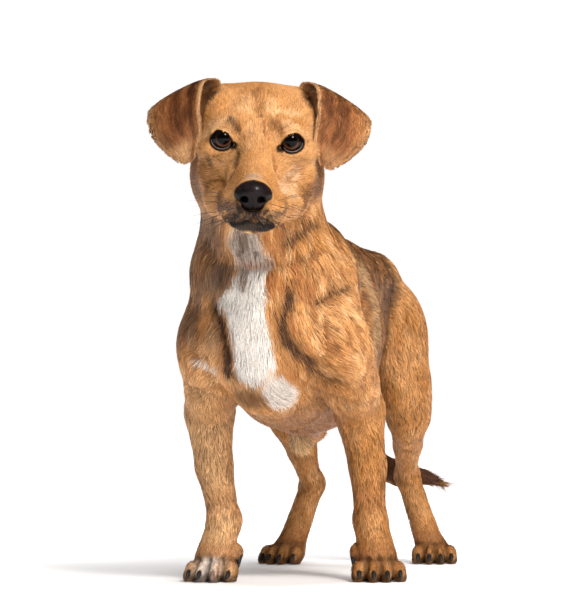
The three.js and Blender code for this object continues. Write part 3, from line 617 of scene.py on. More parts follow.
class Field:
    """A distance field on planes of uneven spacing."""

    def __init__(self):
        self.axes = [planes(GRID[name]) for name in "xyz"]
        self.value = np.full([len(axis) for axis in self.axes], FAR, np.float32)

    def window(self, low, high):
        """The slices and planes between two corners."""
        cut = tuple(slice(*np.searchsorted(axis, (a, b))) for axis, a, b in zip(self.axes, low, high))
        x, y, z = (axis[part] for axis, part in zip(self.axes, cut))
        return cut, x[:, None, None], y[None, :, None], z[None, None, :]

    def add(self, flesh):
        cut, x, y, z = self.window(flesh.low, flesh.high)
        if self.value[cut].size:
            self.value[cut] = join(self.value[cut], flesh, x, y, z)

    def sample(self, points):
        """Trilinear value at points."""
        total = np.zeros(len(points))
        cells, shares = [], []
        for axis, value in zip(self.axes, points.T):
            i = np.clip(np.searchsorted(axis, value) - 1, 0, len(axis) - 2)
            cells.append(i)
            shares.append(np.clip((value - axis[i]) / (axis[i + 1] - axis[i]), 0, 1))
        for step in CORNERS:
            weight = np.ones(len(points))
            for bit, share in zip(step, shares):
                weight *= share if bit else 1 - share
            total += weight * self.value[cells[0] + step[0], cells[1] + step[1], cells[2] + step[2]]
        return total

    def slope(self, points, step=0.8):
        return np.stack([self.sample(points + step * axis) - self.sample(points - step * axis)
                         for axis in np.eye(3)], 1) / (2 * step)

    def surface(self):
        """The zero level: a vertex in each cell that it crosses, and a quad round each edge."""
        inside = self.value < 0
        count = np.array(inside.shape)
        total = sum(inside[i:count[0] - 1 + i, j:count[1] - 1 + j, k:count[2] - 1 + k].astype(np.int8)
                    for i, j, k in CORNERS)
        crossed = (total > 0) & (total < 8)
        cell = np.argwhere(crossed)
        index = np.full(crossed.shape, -1, np.int32)
        index[crossed] = np.arange(len(cell))
        value = {o: self.value[tuple((cell + o).T)] for o in CORNERS}
        place, crossings = np.zeros((len(cell), 3)), np.zeros(len(cell))
        for start in CORNERS:
            for axis in range(3):
                if start[axis]:
                    continue
                end = tuple(1 if at == axis else v for at, v in enumerate(start))
                a, b = value[start], value[end]
                cut = (a < 0) != (b < 0)
                point = np.tile(np.array(start, float), (cut.sum(), 1))
                point[:, axis] += a[cut] / (a[cut] - b[cut])
                place[cut] += point
                crossings[cut] += 1
        place = cell + place / crossings[:, None]
        vertices = np.stack([np.interp(place[:, i], np.arange(count[i]), self.axes[i]) for i in range(3)], 1)
        quads = []
        for axis in range(3):
            before, after = [slice(None)] * 3, [slice(None)] * 3
            before[axis], after[axis] = slice(0, -1), slice(1, None)
            first = inside[tuple(before)]
            edge = np.argwhere(first != inside[tuple(after)])
            u, v = (axis + 1) % 3, (axis + 2) % 3
            keep = (edge[:, u] > 0) & (edge[:, v] > 0)
            keep &= (edge[:, u] < count[u] - 1) & (edge[:, v] < count[v] - 1)
            edge = edge[keep]
            ring = []
            for du, dv in ((1, 1), (0, 1), (0, 0), (1, 0)):
                at = edge.copy()
                at[:, u] -= du
                at[:, v] -= dv
                ring.append(index[tuple(at.T)])
            quad = np.stack(ring, 1)
            outward = first[tuple(edge.T)]
            quad[~outward] = quad[~outward][:, ::-1]
            quads.append(quad)
        return vertices, np.concatenate(quads)


def skin_field():
    """The skin's distance field: the flesh with its folds and ears, drawn in by the coat's depth."""
    field = Field()
    for flesh in BODY:
        field.add(flesh)
    tail = Field()
    for flesh in FLESH["tail"]:
        tail.add(flesh)
    cut = field.window((-40, 250, 20), (110, 390, 270))[0]
    field.value[cut] = soft_min(field.value[cut], tail.value[cut], 6)
    for flesh in lid_flesh(-1) + lid_flesh(1) + face_folds() + body_folds() + toe_folds():
        field.add(flesh)
    x, y, z = (axis.reshape(shape) for axis, shape in zip(field.axes, ((-1, 1, 1), (1, -1, 1), (1, 1, -1))))
    field.value += coat_depth(x, y, z).astype(np.float32)
    for ear in EARS.values():
        cut, x, y, z = field.window(ear.low, ear.high)
        x, y, z = np.broadcast_arrays(x, y, z)
        points = np.stack([x.ravel(), y.ravel(), z.ravel()], 1).astype(float)
        sheet = ear.distance(points).reshape(x.shape).astype(np.float32)
        field.value[cut] = soft_min(field.value[cut], sheet, 4.5)
    for s in (-1, 1):  # the ear's hollow in front of its root
        field.add(mass((s * 35, 29, 33), (4.5, 6, 6), 3, head=True, carve=True))
    # the pocket that holds the nose leather
    field.add(mass((0, NOSE["back"] - 4, NOSE["up"] + 1.5), (12.4, 12, 9.2), 1.2, head=True, carve=True))
    field.add(mass((0, NOSE["back"] - 6, NOSE["up"] - 6), (8.4, 12, 5.6), 1.2, head=True, carve=True))
    sole = np.maximum(DEPTH["paw"] * 0.5 - field.axes[2], 0)[None, None, :]
    field.value = np.where(sole > 0, np.maximum(field.value, sole), field.value)
    return field


field = skin_field()
skin_points, skin_quads = field.surface()
for _ in range(2):
    slope = field.slope(skin_points, 0.5)
    move = slope * (field.sample(skin_points) / ((slope**2).sum(1) + 1e-3))[:, None]
    skin_points -= move * np.minimum(1, 0.4 / (np.linalg.norm(move, axis=1) + 1e-9))[:, None]
skin_points[:, 2] = np.maximum(skin_points[:, 2], 0.5)
skin_normals = unit(field.slope(skin_points))


# ------------------------------------------------------------------ regions and the lie of the coat
REGIONS = ["head", "ear", "trunk", "leg", "tail"]


def along_bones(points, fleshes):
    """The way that the nearest sweeps run, from their starts to their ends."""
    total = np.zeros_like(points)
    for flesh in fleshes:
        if flesh.length > 1 and not flesh.carve:
            d = flesh.distance(*points.T)
            total += np.exp(-np.clip(d, -8, 60) / 5)[:, None] * flesh.axis
    return unit(total)


class Places:
    """Points on the skin with what the coat needs to know there."""

    def __init__(self, points, normals, lie=None):
        self.points, self.normals = points, normals
        self.head = to_head(points)
        self.leg_distance = np.stack([field_at(points, FLESH[name]) for name in LEGS], 1)
        far = np.full(len(points), FAR)
        self.ear_u, self.ear_v, self.ear_face = far * 0, far * 0, far * 0
        self.ear_down = np.zeros((len(points), 3))
        ear_distance = far.copy()
        for ear in EARS.values():
            near = np.flatnonzero(((points > ear.low) & (points < ear.high)).all(axis=1))
            i = ear.nearest(points[near])
            d = ear.distance(points[near], i)
            closer = d < ear_distance[near]
            near, i, d = near[closer], i[closer], d[closer]
            ear_distance[near] = d
            self.ear_u[near], self.ear_v[near] = ear.u[i], ear.v[i]
            self.ear_down[near] = ear.down[i]
            self.ear_face[near] = (normals[near] * ear.out[i]).sum(1)
        distance = {
            "head": field_at(points, FLESH["head"]),
            "ear": np.where(ear_distance < 3, ear_distance * 1.5 - 4, FAR),
            "trunk": field_at(points, FLESH["trunk"]) - 1,
            "leg": self.leg_distance.min(1),
            "tail": field_at(points, FLESH["tail"]),
        }
        weight = np.stack([np.exp(-np.clip(distance[name], -40, 40) / 3.0) for name in REGIONS], 1)
        weight /= weight.sum(1, keepdims=True)
        self.share = {name: weight[:, i] for i, name in enumerate(REGIONS)}
        self.region = weight.argmax(1)
        if lie is None:  # the skin, whose markings have no single hairs
            self.chance = np.full(len(points), 0.5)
            self.lie = self.find_lie()
        else:
            self.chance = np.random.default_rng(SEED + 2).random(len(points))
            self.lie = lie

    def hair_by_hair(self, share):
        """A marking's share, where single hairs take more of it and others less."""
        return np.clip(share + 2.2 * share * (1 - share) * (2 * self.chance - 1), 0, 1)

    def find_lie(self):
        """The way that the hair lies at each point, along the skin."""
        p, n, h = self.points, self.normals, self.head
        x, y, z = p.T
        nose = in_head((0, -70, -22))
        head = unit(p - nose) + 0.5 * smooth(-20, 30, h[:, 1])[:, None] * (HEAD_TURN @ (0, 1, -0.6))
        front = smooth(10, -58, y)
        aside = np.clip((x - spine_x(y)) / 40, -1, 1)
        chest = np.stack([aside * 0.42, 0.12 + 0 * y, -1 + 0 * y], 1)
        falling = smooth(0.9, 0.2, n[:, 2]) * smooth(-1, -0.3, n[:, 2])
        flank = np.stack([aside * 0.05, 1 + 0 * y, -0.42 * falling], 1)
        neck = np.stack([aside * 0.1, 0.75 + 0 * y, -0.9 + 0 * y], 1)
        trunk = mix(flank, chest, front)
        trunk = mix(trunk, neck, smooth(235, 262, z) * smooth(-80, -50, y))
        # the coat swings outwards over each shoulder's point and at the end of the white stripe
        swings = [((52, -48, 176), 20, (1, 0.3, -0.45)), ((-58, -46, 166), 16, (-1, 0.3, -0.6)),
                  ((14, -48, 148), 12, (0.8, 0, -0.5))]
        for centre, reach, swing in swings:
            near = np.exp(-((p - np.array(centre)) ** 2).sum(1) / (2 * reach**2))
            trunk = mix(unit(trunk), np.array(swing), near * 0.8)
        leg = np.zeros_like(p)
        closest = self.leg_distance.argmin(1)
        for i, name in enumerate(LEGS):
            here = closest == i
            leg[here] = along_bones(p[here], FLESH[name])
        lie = (self.share["head"][:, None] * unit(head) + self.share["ear"][:, None] * self.ear_down
               + self.share["trunk"][:, None] * unit(trunk) + self.share["leg"][:, None] * leg
               + self.share["tail"][:, None] * along_bones(p, FLESH["tail"]))
        lie = unit(lie - n * (lie * n).sum(1)[:, None])
        # locks lean a little to either side
        sway = 0.24 * noise(p, 9.0) + 0.12 * noise(p + 50, 3.5)
        return unit(lie + np.cross(n, lie) * sway[:, None])


skin = Places(skin_points, skin_normals)


# ------------------------------------------------------------------ markings
def tone(code):
    """A hex colour as linear red, green and blue."""
    value = np.array([int(code[i:i + 2], 16) / 255 for i in (0, 2, 4)])
    return np.where(value <= 0.04045, value / 12.92, ((value + 0.055) / 1.055) ** 2.4)


TONES = {name: tone(code) for name, code in {
    "gold": "cd955f", "tan": "b67b43", "saddle": "8a5b34", "sable": "5b3d28", "ear": "9a6038",
    "ear_dark": "4a2714", "ear_edge": "cb9a6a", "white": "ddd5cc", "grey_white": "9b8e82", "cream": "dfb988",
    "pink": "b98672", "belly": "a8764e", "tail": "4c2f1f", "tail_edge": "a1754c", "black": "0c0908",
    "dark": "3a261b", "rust": "9c5f36", "brow": "deac7a", "toe_white": "ead9cb", "pad": "1b1614",
    "smoke": "6b5344", "silver": "a8998c", "lip": "261d1a", "chin": "453831", "umber": "603819",
    "blush": "e6bd95",
}.items()}


def paint(colour, name, share):
    """A share of one of the tones over a colour."""
    return mix(colour, TONES[name], share)


def blob(points, centre, size, edge=0.45):
    """1 inside an ellipsoid patch, fading out across its rim."""
    reach = np.linalg.norm((points - np.array(centre)) / np.array(size), axis=1)
    return 1 - smooth(1 - edge, 1 + edge, reach)


def stroke(points, line, wide):
    """1 along a line through the places given, and half that at its half-width to either side."""
    line = np.array(line, float)
    nearest = np.full(len(points), FAR)
    for a, b in zip(line, line[1:]):
        share = np.clip((points - a) @ (b - a) / ((b - a) @ (b - a)), 0, 1)
        nearest = np.minimum(nearest, np.linalg.norm(points - a - share[:, None] * (b - a), axis=1))
    return smooth(1.6, 0.4, nearest / wide)


# patches of the head, in its own frame: place, half-sizes, tone and strength
HEAD_PATCHES = [
    ((-26, 0, 8), (9, 9, 3.4), "brow", 0.6),
    ((25, -4, 10), (9, 9, 3.4), "brow", 0.6),
    # painted shade in the fold under each eye
    ((-25, -8, -10.5), (9, 10, 2.6), "dark", 0.35),
    ((25, -8, -10.5), (9, 10, 2.6), "dark", 0.3),
    ((-20, -30, -8), (7, 20, 6), "gold", 0.5),
    ((20, -30, -8), (8, 20, 7), "gold", 0.6),
    ((28, -20, -27), (8, 15, 9), "brow", 0.9),
    ((18, -50, -24), (8, 14, 8), "tan", 0.6),
    # the outer right cheek darker: brown hair with painted shade over it
    ((-38, -2, -26), (10, 16, 14), "saddle", 0.45),
    ((-28, -14, -24), (5, 10, 6), "gold", 0.3),
    ((36, 8, 2), (8, 14, 12), "gold", 0.6),
    ((0, 14, 40), (24, 20, 8), "rust", 0.4),
    ((-9, 14, 24), (5, 12, 7), "brow", 0.5),
    ((10, 12, 24), (5, 12, 7), "brow", 0.5),
    ((0.5, -57, -12), (6, 5, 3), "silver", 0.42),
    # painted shade in the hollow between the forehead and each ear's root
    ((37, 27, 30), (6, 9, 10), "dark", 0.85),
    ((-37, 27, 30), (6, 9, 10), "dark", 0.85),
    # below the left ear, by the jaw: darker hair with painted shade over it
    ((34, 16, -40), (9, 18, 9), "saddle", 0.5),
]
# marks of the head drawn along lines: places, half-width, tone and strength
HEAD_STROKES = [
    # pale brows, the dark marks at their inner ends and the lines between them
    ([(-37, 7, 1), (-33, 3, 11.5), (-25, -1, 14.5), (-17.5, 1, 16.5)], 3.2, "brow", 0.9),
    ([(19, -1, 14.5), (28, -1.5, 13), (35, 5, 6)], 3.2, "brow", 0.9),
    ([(-20, -1, 17.5), (-15.5, -3.5, 10)], 3.4, "sable", 0.8),
    ([(12.5, -1.5, 15.5), (17.3, -5, 9)], 3.2, "saddle", 0.85),
    ([(-6.6, 2.5, 17), (-6.9, -3, 10.7), (-10, -6, 4)], 1.4, "rust", 0.8),
    ([(6, 3, 17.4), (5, -3, 11), (9, -6, 4)], 1.4, "rust", 0.8),
    ([(-1, 30, 35), (-1, 20, 29), (1, 6, 18)], 3.8, "saddle", 0.62),
    ([(-14, 10, 24), (-6, 8, 21)], 3.0, "brow", 0.8),
    ([(8, 8, 22), (18, 8, 23), (28, 10, 20)], 3.2, "brow", 0.8),
    ([(-6, 0, 13), (-5, -18, 2)], 2.6, "brow", 0.5),
    # below the tear notches, with painted shade along the furrows that run down from them and at the eyes'
    # outer corners
    ([(-12, -13.6, -4), (-14.7, -29.6, -12.4), (-17.2, -33.8, -19)], 3.4, "sable", 0.75),
    ([(12.4, -19, -6.4), (16, -33, -16), (20.6, -22.6, -27.7)], 2.2, "rust", 0.7),
    ([(-35.5, -4, -12), (-31.5, -4.3, -16)], 3.0, "dark", 0.7),
    ([(29, -9, -14), (32, -6, -17)], 2.6, "rust", 0.75),
    ([(28, -9, -20), (26, -19, -27), (21, -33, -25)], 6.0, "blush", 0.6),
    # the cheeks: darker brown hair with painted shade over it, strongest on the outer cheeks and below the
    # ears
    ([(-47, 30, -18), (-46, 22, -32), (-43, 24, -46)], 15.0, "umber", 0.85),
    ([(-40, 2, -20), (-36, -4, -36)], 5.5, "saddle", 0.8),
    ([(-20.7, -17, -22), (-23.6, -30, -29), (-24.3, -45, -33)], 3.6, "saddle", 0.85),
    ([(46, 33, -8), (47, 27, -24), (45, 26, -38)], 12.0, "umber", 0.85),
    ([(44, 13, -32), (38, 0, -40), (31, -12, -46)], 8.0, "umber", 0.75),
    # hidden skin round the nose leather
    ([(-10, -63, -30), (0, -66, -33), (10, -63, -30)], 3.6, "black", 1.0),
    # the muzzle's sides, the upper lip with its groove and edge
    ([(-24, -50, -36), (-18, -59, -34), (-13.4, -62.7, -36.8)], 5.2, "smoke", 0.9),
    ([(-20, -56, -43), (-10, -62, -40)], 3.2, "dark", 0.9),
    ([(22, -48, -33), (21, -56, -38), (15, -62, -39)], 3.8, "smoke", 0.75),
    ([(-9, -66, -34), (0, -68, -35), (9, -66, -34)], 3.6, "lip", 0.97),
    ([(-16, -57, -43), (-8, -63, -39), (0, -67, -37.5), (9, -62, -40), (15, -56, -45)], 3.8, "lip", 0.97),
    ([(-13, -55, -49), (-4, -62.5, -47.5), (6, -62, -48), (13, -54, -51)], 5.8, "chin", 1.0),
    ([(0, -67.4, -35), (0, -67, -39)], 1.1, "silver", 0.2),
    ([(-9.7, -60.3, -42), (-1.7, -65, -39.6), (4, -63.5, -40.4), (11, -58, -44)], 0.6, "silver", 0.35),
    # the mouth's line and the lower lip
    ([(-17, -51, -48), (-12, -58, -46.3), (-5.7, -62, -43.9), (0, -65, -41.6), (4, -63.4, -43.3),
      (9.6, -59.4, -46.2), (14, -54, -49.5)], 2.2, "black", 0.97),
    ([(-32, 2, -50), (-29, -12, -53), (-24, -32, -51.5), (-17, -51, -48)], 1.4, "black", 0.85),
    ([(32, 2, -50), (29, -12, -53), (24, -32, -51.5), (14, -54, -49.5)], 1.4, "black", 0.85),
    ([(4.5, -61, -49), (12, -54, -52), (18, -44, -53)], 3.2, "lip", 0.95),
    ([(-37, 6, -52), (-29.6, -21, -54), (-22, -40, -55), (-13, -53, -54), (-7, -57, -53.6), (-1.6, -60, -53)],
     1.8, "cream", 0.95),
    ([(6, -58, -55), (16, -46, -57)], 2.2, "silver", 0.6),
]


# the rims of the eyes' openings: how far past the lids' half-sizes, the tear notch's offset and
# half-sizes, and where the rim and the notch begin to fade
RIMS = {
    "dark": {"past": (0.5, 0.7), "notch": (1.0, 1.9), "notch_size": (4.8, 3.0), "fade": (1.25, 1.1, 1.25)},
    "bare": {"past": (0.4, 0.5), "notch": (0.8, 1.8), "notch_size": (4.2, 2.6), "fade": (1.24, 1.12, 1.15)},
}


def lid_rim(here, s, kind):
    """1 on the rim of one eye's opening and in its tear notch."""
    rim = RIMS[kind]
    wide, high = LIDS["half_wide"], LIDS["half_high"]
    centre, ahead, outward, upward = eye_frame(s)
    offset = here.points - centre
    u, v = offset @ outward, offset @ upward
    reach = np.hypot(u / (wide + rim["past"][0]), (v + LIDS["drop"]) / (high + rim["past"][1]))
    notch = np.hypot((u + wide + rim["notch"][0]) / rim["notch_size"][0],
                     (v + rim["notch"][1]) / rim["notch_size"][1])
    outer, inner, notch_outer = rim["fade"]
    edge = np.maximum(smooth(outer, inner, reach), smooth(notch_outer, 0.9, notch))
    return edge * smooth(2, 5, offset @ ahead)


def head_colours(here, colour):
    """The head's own markings over a colour: patches, then lines, then the eyes' dark rims."""
    h = here.head
    warped = h + np.stack([noise(h + k, 4.0) + 0.5 * noise(h + k, 1.6) for k in (0, 40, 80)], 1)
    for centre, size, name, strength in HEAD_PATCHES:
        colour = paint(colour, name, here.hair_by_hair(strength * blob(warped, centre, size)))
    throat = smooth(-57, -61, h[:, 2]) * smooth(32, 22, np.abs(h[:, 0] + 2))
    colour = paint(colour, "grey_white", 0.85 * throat * smooth(20, -10, h[:, 1]))
    for line, wide, name, strength in HEAD_STROKES:
        colour = paint(colour, name, here.hair_by_hair(strength * stroke(warped, line, wide)))
    for s in (-1, 1):
        colour = paint(colour, "black", 0.97 * lid_rim(here, s, "dark"))
    return colour


# marks of the flanks, on both sides: places as (distance from the spine's line, y, z), then as for the head
FLANK_STROKES = [
    ([(48, 9, 261), (58, 2, 242), (60, -17, 225)], 5.0, "gold", 0.75),
    ([(49, 28, 257), (49, 69, 249)], 7.0, "sable", 0.6),
    ([(53, 40, 240), (56, 50, 222)], 8.0, "sable", 0.6),
    ([(51, 68, 241), (57, 92, 214), (58, 85, 187), (57, 80, 170)], 9.0, "cream", 0.32),
    ([(46, 164, 211), (44, 202, 183), (36, 213, 165)], 8.0, "sable", 0.7),
]


def body_colours(here):
    """Trunk and neck: tan in locks of lighter and darker hair, with the darker saddle and the marks."""
    p, n = here.points, here.normals
    x, y, z = p.T
    wave = noise(p, 22.0)
    fine = noise(p + 200, (3.2, 3.2, 7.5))
    lock = noise(p + 160, (5.0, 5.0, 11.0)) + 0.5 * noise(p + 35, (2.0, 2.0, 6.0))
    colour = mix(TONES["tan"], TONES["gold"], np.clip(0.5 + 0.5 * wave, 0, 1))
    colour = paint(colour, "brow", 0.8 * smooth(0.25, 1.0, lock))
    colour = paint(colour, "rust", 0.7 * smooth(-0.3, -1.0, lock))
    thigh = smooth(208, 236, y + 0.25 * (z - 160))
    saddle = smooth(40, 96, y + 0.25 * (z - 200)) * (1 - 0.75 * thigh) * smooth(118, 150, z)
    saddle = np.maximum(saddle, smooth(246, 262, z) * smooth(-30, 10, y))
    saddle = np.clip(saddle * (0.85 + 0.3 * wave) + 0.2 * fine * saddle, 0, 1) * here.share["trunk"]
    colour = paint(colour, "saddle", saddle)
    darkest = smooth(120, 175, y) * smooth(225, 200, y) * smooth(190, 214, z)
    sable = np.clip(smooth(0.0, 0.7, fine + 0.6 * wave) * 0.55 + 0.5 * darkest, 0, 1) * saddle
    colour = paint(colour, "sable", sable)
    # the thigh is a warmer tan, with painted light where it faces forward
    colour = paint(colour, "cream", 0.5 * thigh * smooth(-0.2, -0.8, n[:, 1]) * smooth(200, 160, z))
    # the right side of neck and breast is greyer and darker, with a lighter ridge down its middle
    right = smooth(-20, -36, x) * smooth(20, -30, y) * smooth(165, 190, z) * here.share["trunk"]
    ridge = stroke(p, [(-44, -50, 214), (-47, -50, 190), (-44, -52, 172)], 6.0)
    colour = paint(colour, "smoke", 0.78 * right * (1 - 0.8 * ridge) * np.clip(0.85 + 0.3 * wave, 0, 1))
    mirrored = np.stack([np.abs(x - spine_x(y)), y, z], 1)
    ripple = 2.0 * np.stack([noise(p + k, 8.0) for k in (20, 60, 90)], 1)
    for line, wide, name, strength in FLANK_STROKES:
        mark = strength * stroke(mirrored + ripple, line, wide) * here.share["trunk"]
        colour = paint(colour, name, mark)
    belly = smooth(-0.35, -0.85, n[:, 2]) * here.share["trunk"] * smooth(-30, 10, y)
    colour = paint(colour, "belly", 0.75 * belly)
    colour = paint(colour, "pink", 0.5 * belly * smooth(60, 110, y))
    colour = paint(colour, "cream", 0.9 * blob(p, (-8, 106, 94), (13, 18, 16)))
    colour = white_marks(here, colour, fine)
    return fold_shade(here, colour, ripple)


def fold_shade(here, colour, ripple):
    """Painted shade along the breast's folds, measured nearly flat, as the breast bulges past the lines."""
    flat = np.array((1, 0.35, 1))
    for line, wide, _, dark in BREAST_FOLDS:
        line = np.array(line) * flat
        broad = stroke((here.points + 0.5 * ripple) * flat, line, wide * 1.4)
        colour = paint(colour, "saddle", 0.8 * dark * broad)
        narrow = stroke((here.points + 0.3 * ripple) * flat, line, wide * 0.7)
        colour = paint(colour, "dark", here.hair_by_hair(dark * narrow))
    return colour


# the white stripe's edges, dog's right then left: heights and how far aside
STRIPE_RIGHT = [(150, -8), (153, -19), (158, -22.5), (167, -23.5), (181, -25), (202, -26), (207, -30),
                (211, -38), (214, -38), (218, -32), (226, -24), (233, -18), (262, -24)]
STRIPE_LEFT = [(150, -8), (153, -5.4), (158, 3), (164, 8), (169, 8), (181, 6.9), (204, 3.3), (227, 4.5),
               (241, 8), (249, 2), (262, -1)]


def white_marks(here, colour, fine):
    """The white stripe down the chest with its tail end, the throat, and the right shoulder's fleck."""
    p, n = here.points, here.normals
    x, y, z = p.T
    jag = 1.5 * noise(p + 300, (2.0, 2.0, 12.0)) + 0.8 * fine
    right, left = (np.interp(z, *zip(*edge)) for edge in (STRIPE_RIGHT, STRIPE_LEFT))
    inside = np.minimum(x - right, left - x) + jag
    forward = smooth(0.35, -0.05, n[:, 1]) * smooth(-26, -38, y)
    soft = 1 + 3.5 * smooth(230, 240, z)
    stripe = smooth(-0.8, 1.4, inside / soft) * forward * smooth(149, 153, z + jag) * smooth(268, 258, z)
    spot = np.stack([x, z], 1) + 0.6 * jag[:, None]
    second = blob(spot, (7, 145), (11.5, 14), 0.14) * smooth(-16, -34, y)
    fleck = [(-57, -40, 168.5), (-47, -46, 164.5), (-39, -48, 162), (-42, -46, 158)]
    fleck = stroke(p + 0.5 * jag[:, None], fleck, 2.6)
    # painted shadow under the breast, below the white stripe
    shade = blob(p, (-16, -42, 142), (15, 20, 9)) * (1 - second)
    colour = paint(colour, "sable", 0.75 * shade)
    colour = paint(colour, "smoke", 0.8 * blob(p, (-30, -62, 232), (10, 14, 8)))
    colour = paint(colour, "white", np.clip(stripe + 0.88 * second + 0.8 * fleck, 0, 1))
    throat = smooth(227, 240, z + jag) * stripe
    streaks = smooth(-0.4, 0.8, noise(p + 60, (1.6, 1.6, 9.0)) + 0.05 * (z - 246))
    colour = paint(colour, "grey_white", 0.9 * throat)
    colour = paint(colour, "smoke", 0.8 * throat * streaks)
    return paint(colour, "pink", 0.5 * blob(p, (-8.5, -70, 240), (15, 10, 3.4)))


def leg_colours(here, colour):
    """Legs and paws, with painted shade in the toes' clefts, darker tips of the toes, and the pale right
    forepaw.
    """
    p, n = here.points, here.normals
    x, y, z = p.T
    leg = here.share["leg"]
    inside = smooth(0.2, 0.9, -n[:, 0] * np.sign(x + 2))
    # palest marks the right foreleg, painted paler below: partly lighter hair, partly painted light,
    # strongest where it faces forward
    palest = smooth(-20, -40, x) * smooth(120, 80, y)  # the right foreleg
    hind = smooth(150, 200, y)
    mottle = np.clip(0.15 + 0.6 * palest + 0.2 * hind + 0.5 * noise(p + 130, (9.0, 9.0, 16.0)), 0, 1)
    colour = mix(colour, mix(TONES["tan"], TONES["gold"], mottle), leg * 0.85)
    colour = paint(colour, "brow", 0.7 * leg * palest * smooth(180, 140, z))
    colour = paint(colour, "cream", 0.25 * palest * leg * smooth(-0.2, -0.9, n[:, 1]))
    colour = paint(colour, "saddle", 0.12 * leg * inside)
    colour = paint(colour, "rust", 0.35 * leg * np.exp(-(((z - 62) / 11) ** 2)) * smooth(180, 100, y))
    colour = paint(colour, "rust", 0.45 * leg * smooth(34, 24, z) * smooth(10, 20, z))
    # painted shade across the bases of the toes
    bases = np.exp(-(((z - 17.5) / 2.4) ** 2)) * smooth(0.1, -0.4, n[:, 1])
    colour = paint(colour, "dark", 0.45 * leg * bases)
    for name, spec in LEGS.items():
        size = paw_size(name)
        ahead, inward, at = paw_frame(spec)
        offset = p - at(0, 0, 0)
        across, along = offset @ inward, offset @ ahead
        near = smooth(34, 28, np.abs(across)) * smooth(24, 18, z)
        near = near * smooth(-14, -4, along) * smooth(60, 50, along)
        places = [inner for inner, _ in toe_places(size)]
        middles = [(a + b) / 2 for a, b in zip(places, places[1:])]
        # painted shade in the clefts between the toes
        cleft = sum(np.exp(-(((across - m * 1.03) / 2.1) ** 2)) for m in middles)
        ends = smooth(size["spread"] + 3, size["spread"] + 7, np.abs(across))
        tips = smooth(7.5, 3.5, z) * smooth(8, 14, along)
        dark = np.clip(cleft * smooth(2, 10, along) + 0.5 * ends + 1.3 * tips, 0, 1.3) * near
        if name == "foreleg_right":
            pale = near * smooth(4, 12, along) * np.exp(-(((across + 1.5) / 10.5) ** 2)) * smooth(22, 16, z)
            colour = paint(colour, "toe_white", 0.95 * pale)
        colour = paint(colour, "dark", 0.55 * dark)
    return paint(colour, "pad", smooth(-0.5, -0.9, n[:, 2]) * smooth(3.5, 2.0, z))


def ear_colours(here, colour):
    """Red-brown ears with painted shade along the folds and in the hollow, and pale edges."""
    u, v = here.ear_u, here.ear_v
    lock = noise(np.stack([u * 22, v * 5, 0 * u], 1) + 90, 1.0) + noise(here.points + 90, 6.0)
    outside = smooth(-0.7, -0.2, here.ear_face)
    right = smooth(10, -20, here.points[:, 0])  # the dog's right ear is the darker one
    ear = mix(TONES["ear"], TONES["ear_dark"], np.clip(0.26 + 0.04 * right + 0.26 * lock, 0, 1))
    ear = paint(ear, "gold", 0.5 * smooth(0.48, 0.3, v) + 0.3 * smooth(0.66, 0.85, u))
    # painted shade along the folds behind the front margin, stronger on the right ear
    for middle, wide, strength in ((0.13, 0.085, 1.0), (0.42, 0.08, 0.8)):
        fold = np.exp(-(((u - middle - 0.05 * v) / wide) ** 2)) * smooth(0.12, 0.32, v) * smooth(0.92, 0.6, v)
        ear = paint(ear, "ear_dark", strength * (0.4 + 0.6 * right) * fold)
    rim = np.maximum(smooth(0.15, 0.05, 1 - u), smooth(0.76, 0.9, v) * smooth(0.12, 0.4, u))
    edge = np.maximum(smooth(0.06, 0.02, u), rim * (0.5 + 0.5 * right))
    ear = paint(ear, "ear_edge", 0.9 * edge)
    # painted shade in the ear's hollow, on its inner face
    hollow = blob(np.abs(here.head * (1, 0, 0)) + here.head * (0, 1, 1), (38.5, 27, 28), (6.5, 16, 12))
    inner = mix(TONES["rust"], TONES["ear_dark"], 0.95 * hollow)
    ear = mix(inner, ear, np.clip(outside + edge * 0.5, 0, 1))
    ear = paint(ear, "gold", 0.75 * smooth(0.26, 0.1, v))
    return mix(colour, ear, here.share["ear"])


def coat_colours(here):
    """The colour of skin and coat at each place."""
    colour = body_colours(here)
    head = mix(TONES["tan"], TONES["gold"], np.clip(0.65 + 0.4 * noise(here.head, 14.0), 0, 1))
    head = head_colours(here, np.broadcast_to(head, colour.shape))
    colour = mix(colour, head, smooth(0.35, 0.8, here.share["head"] + here.share["ear"]))
    colour = leg_colours(here, colour)
    colour = ear_colours(here, colour)
    # the tail's end turns aside, dark above and with a paler fringe round it
    fringe = smooth(0.45, -0.5, here.normals[:, 2] - here.normals[:, 1]) * smooth(120, 90, here.points[:, 2])
    tail = mix(TONES["tail"], TONES["tail_edge"], 0.75 * fringe)
    root = smooth(300, 262, here.points[:, 1]) * smooth(170, 210, here.points[:, 2])
    tail = paint(tail, "saddle", root)
    return mix(colour, tail, here.share["tail"])


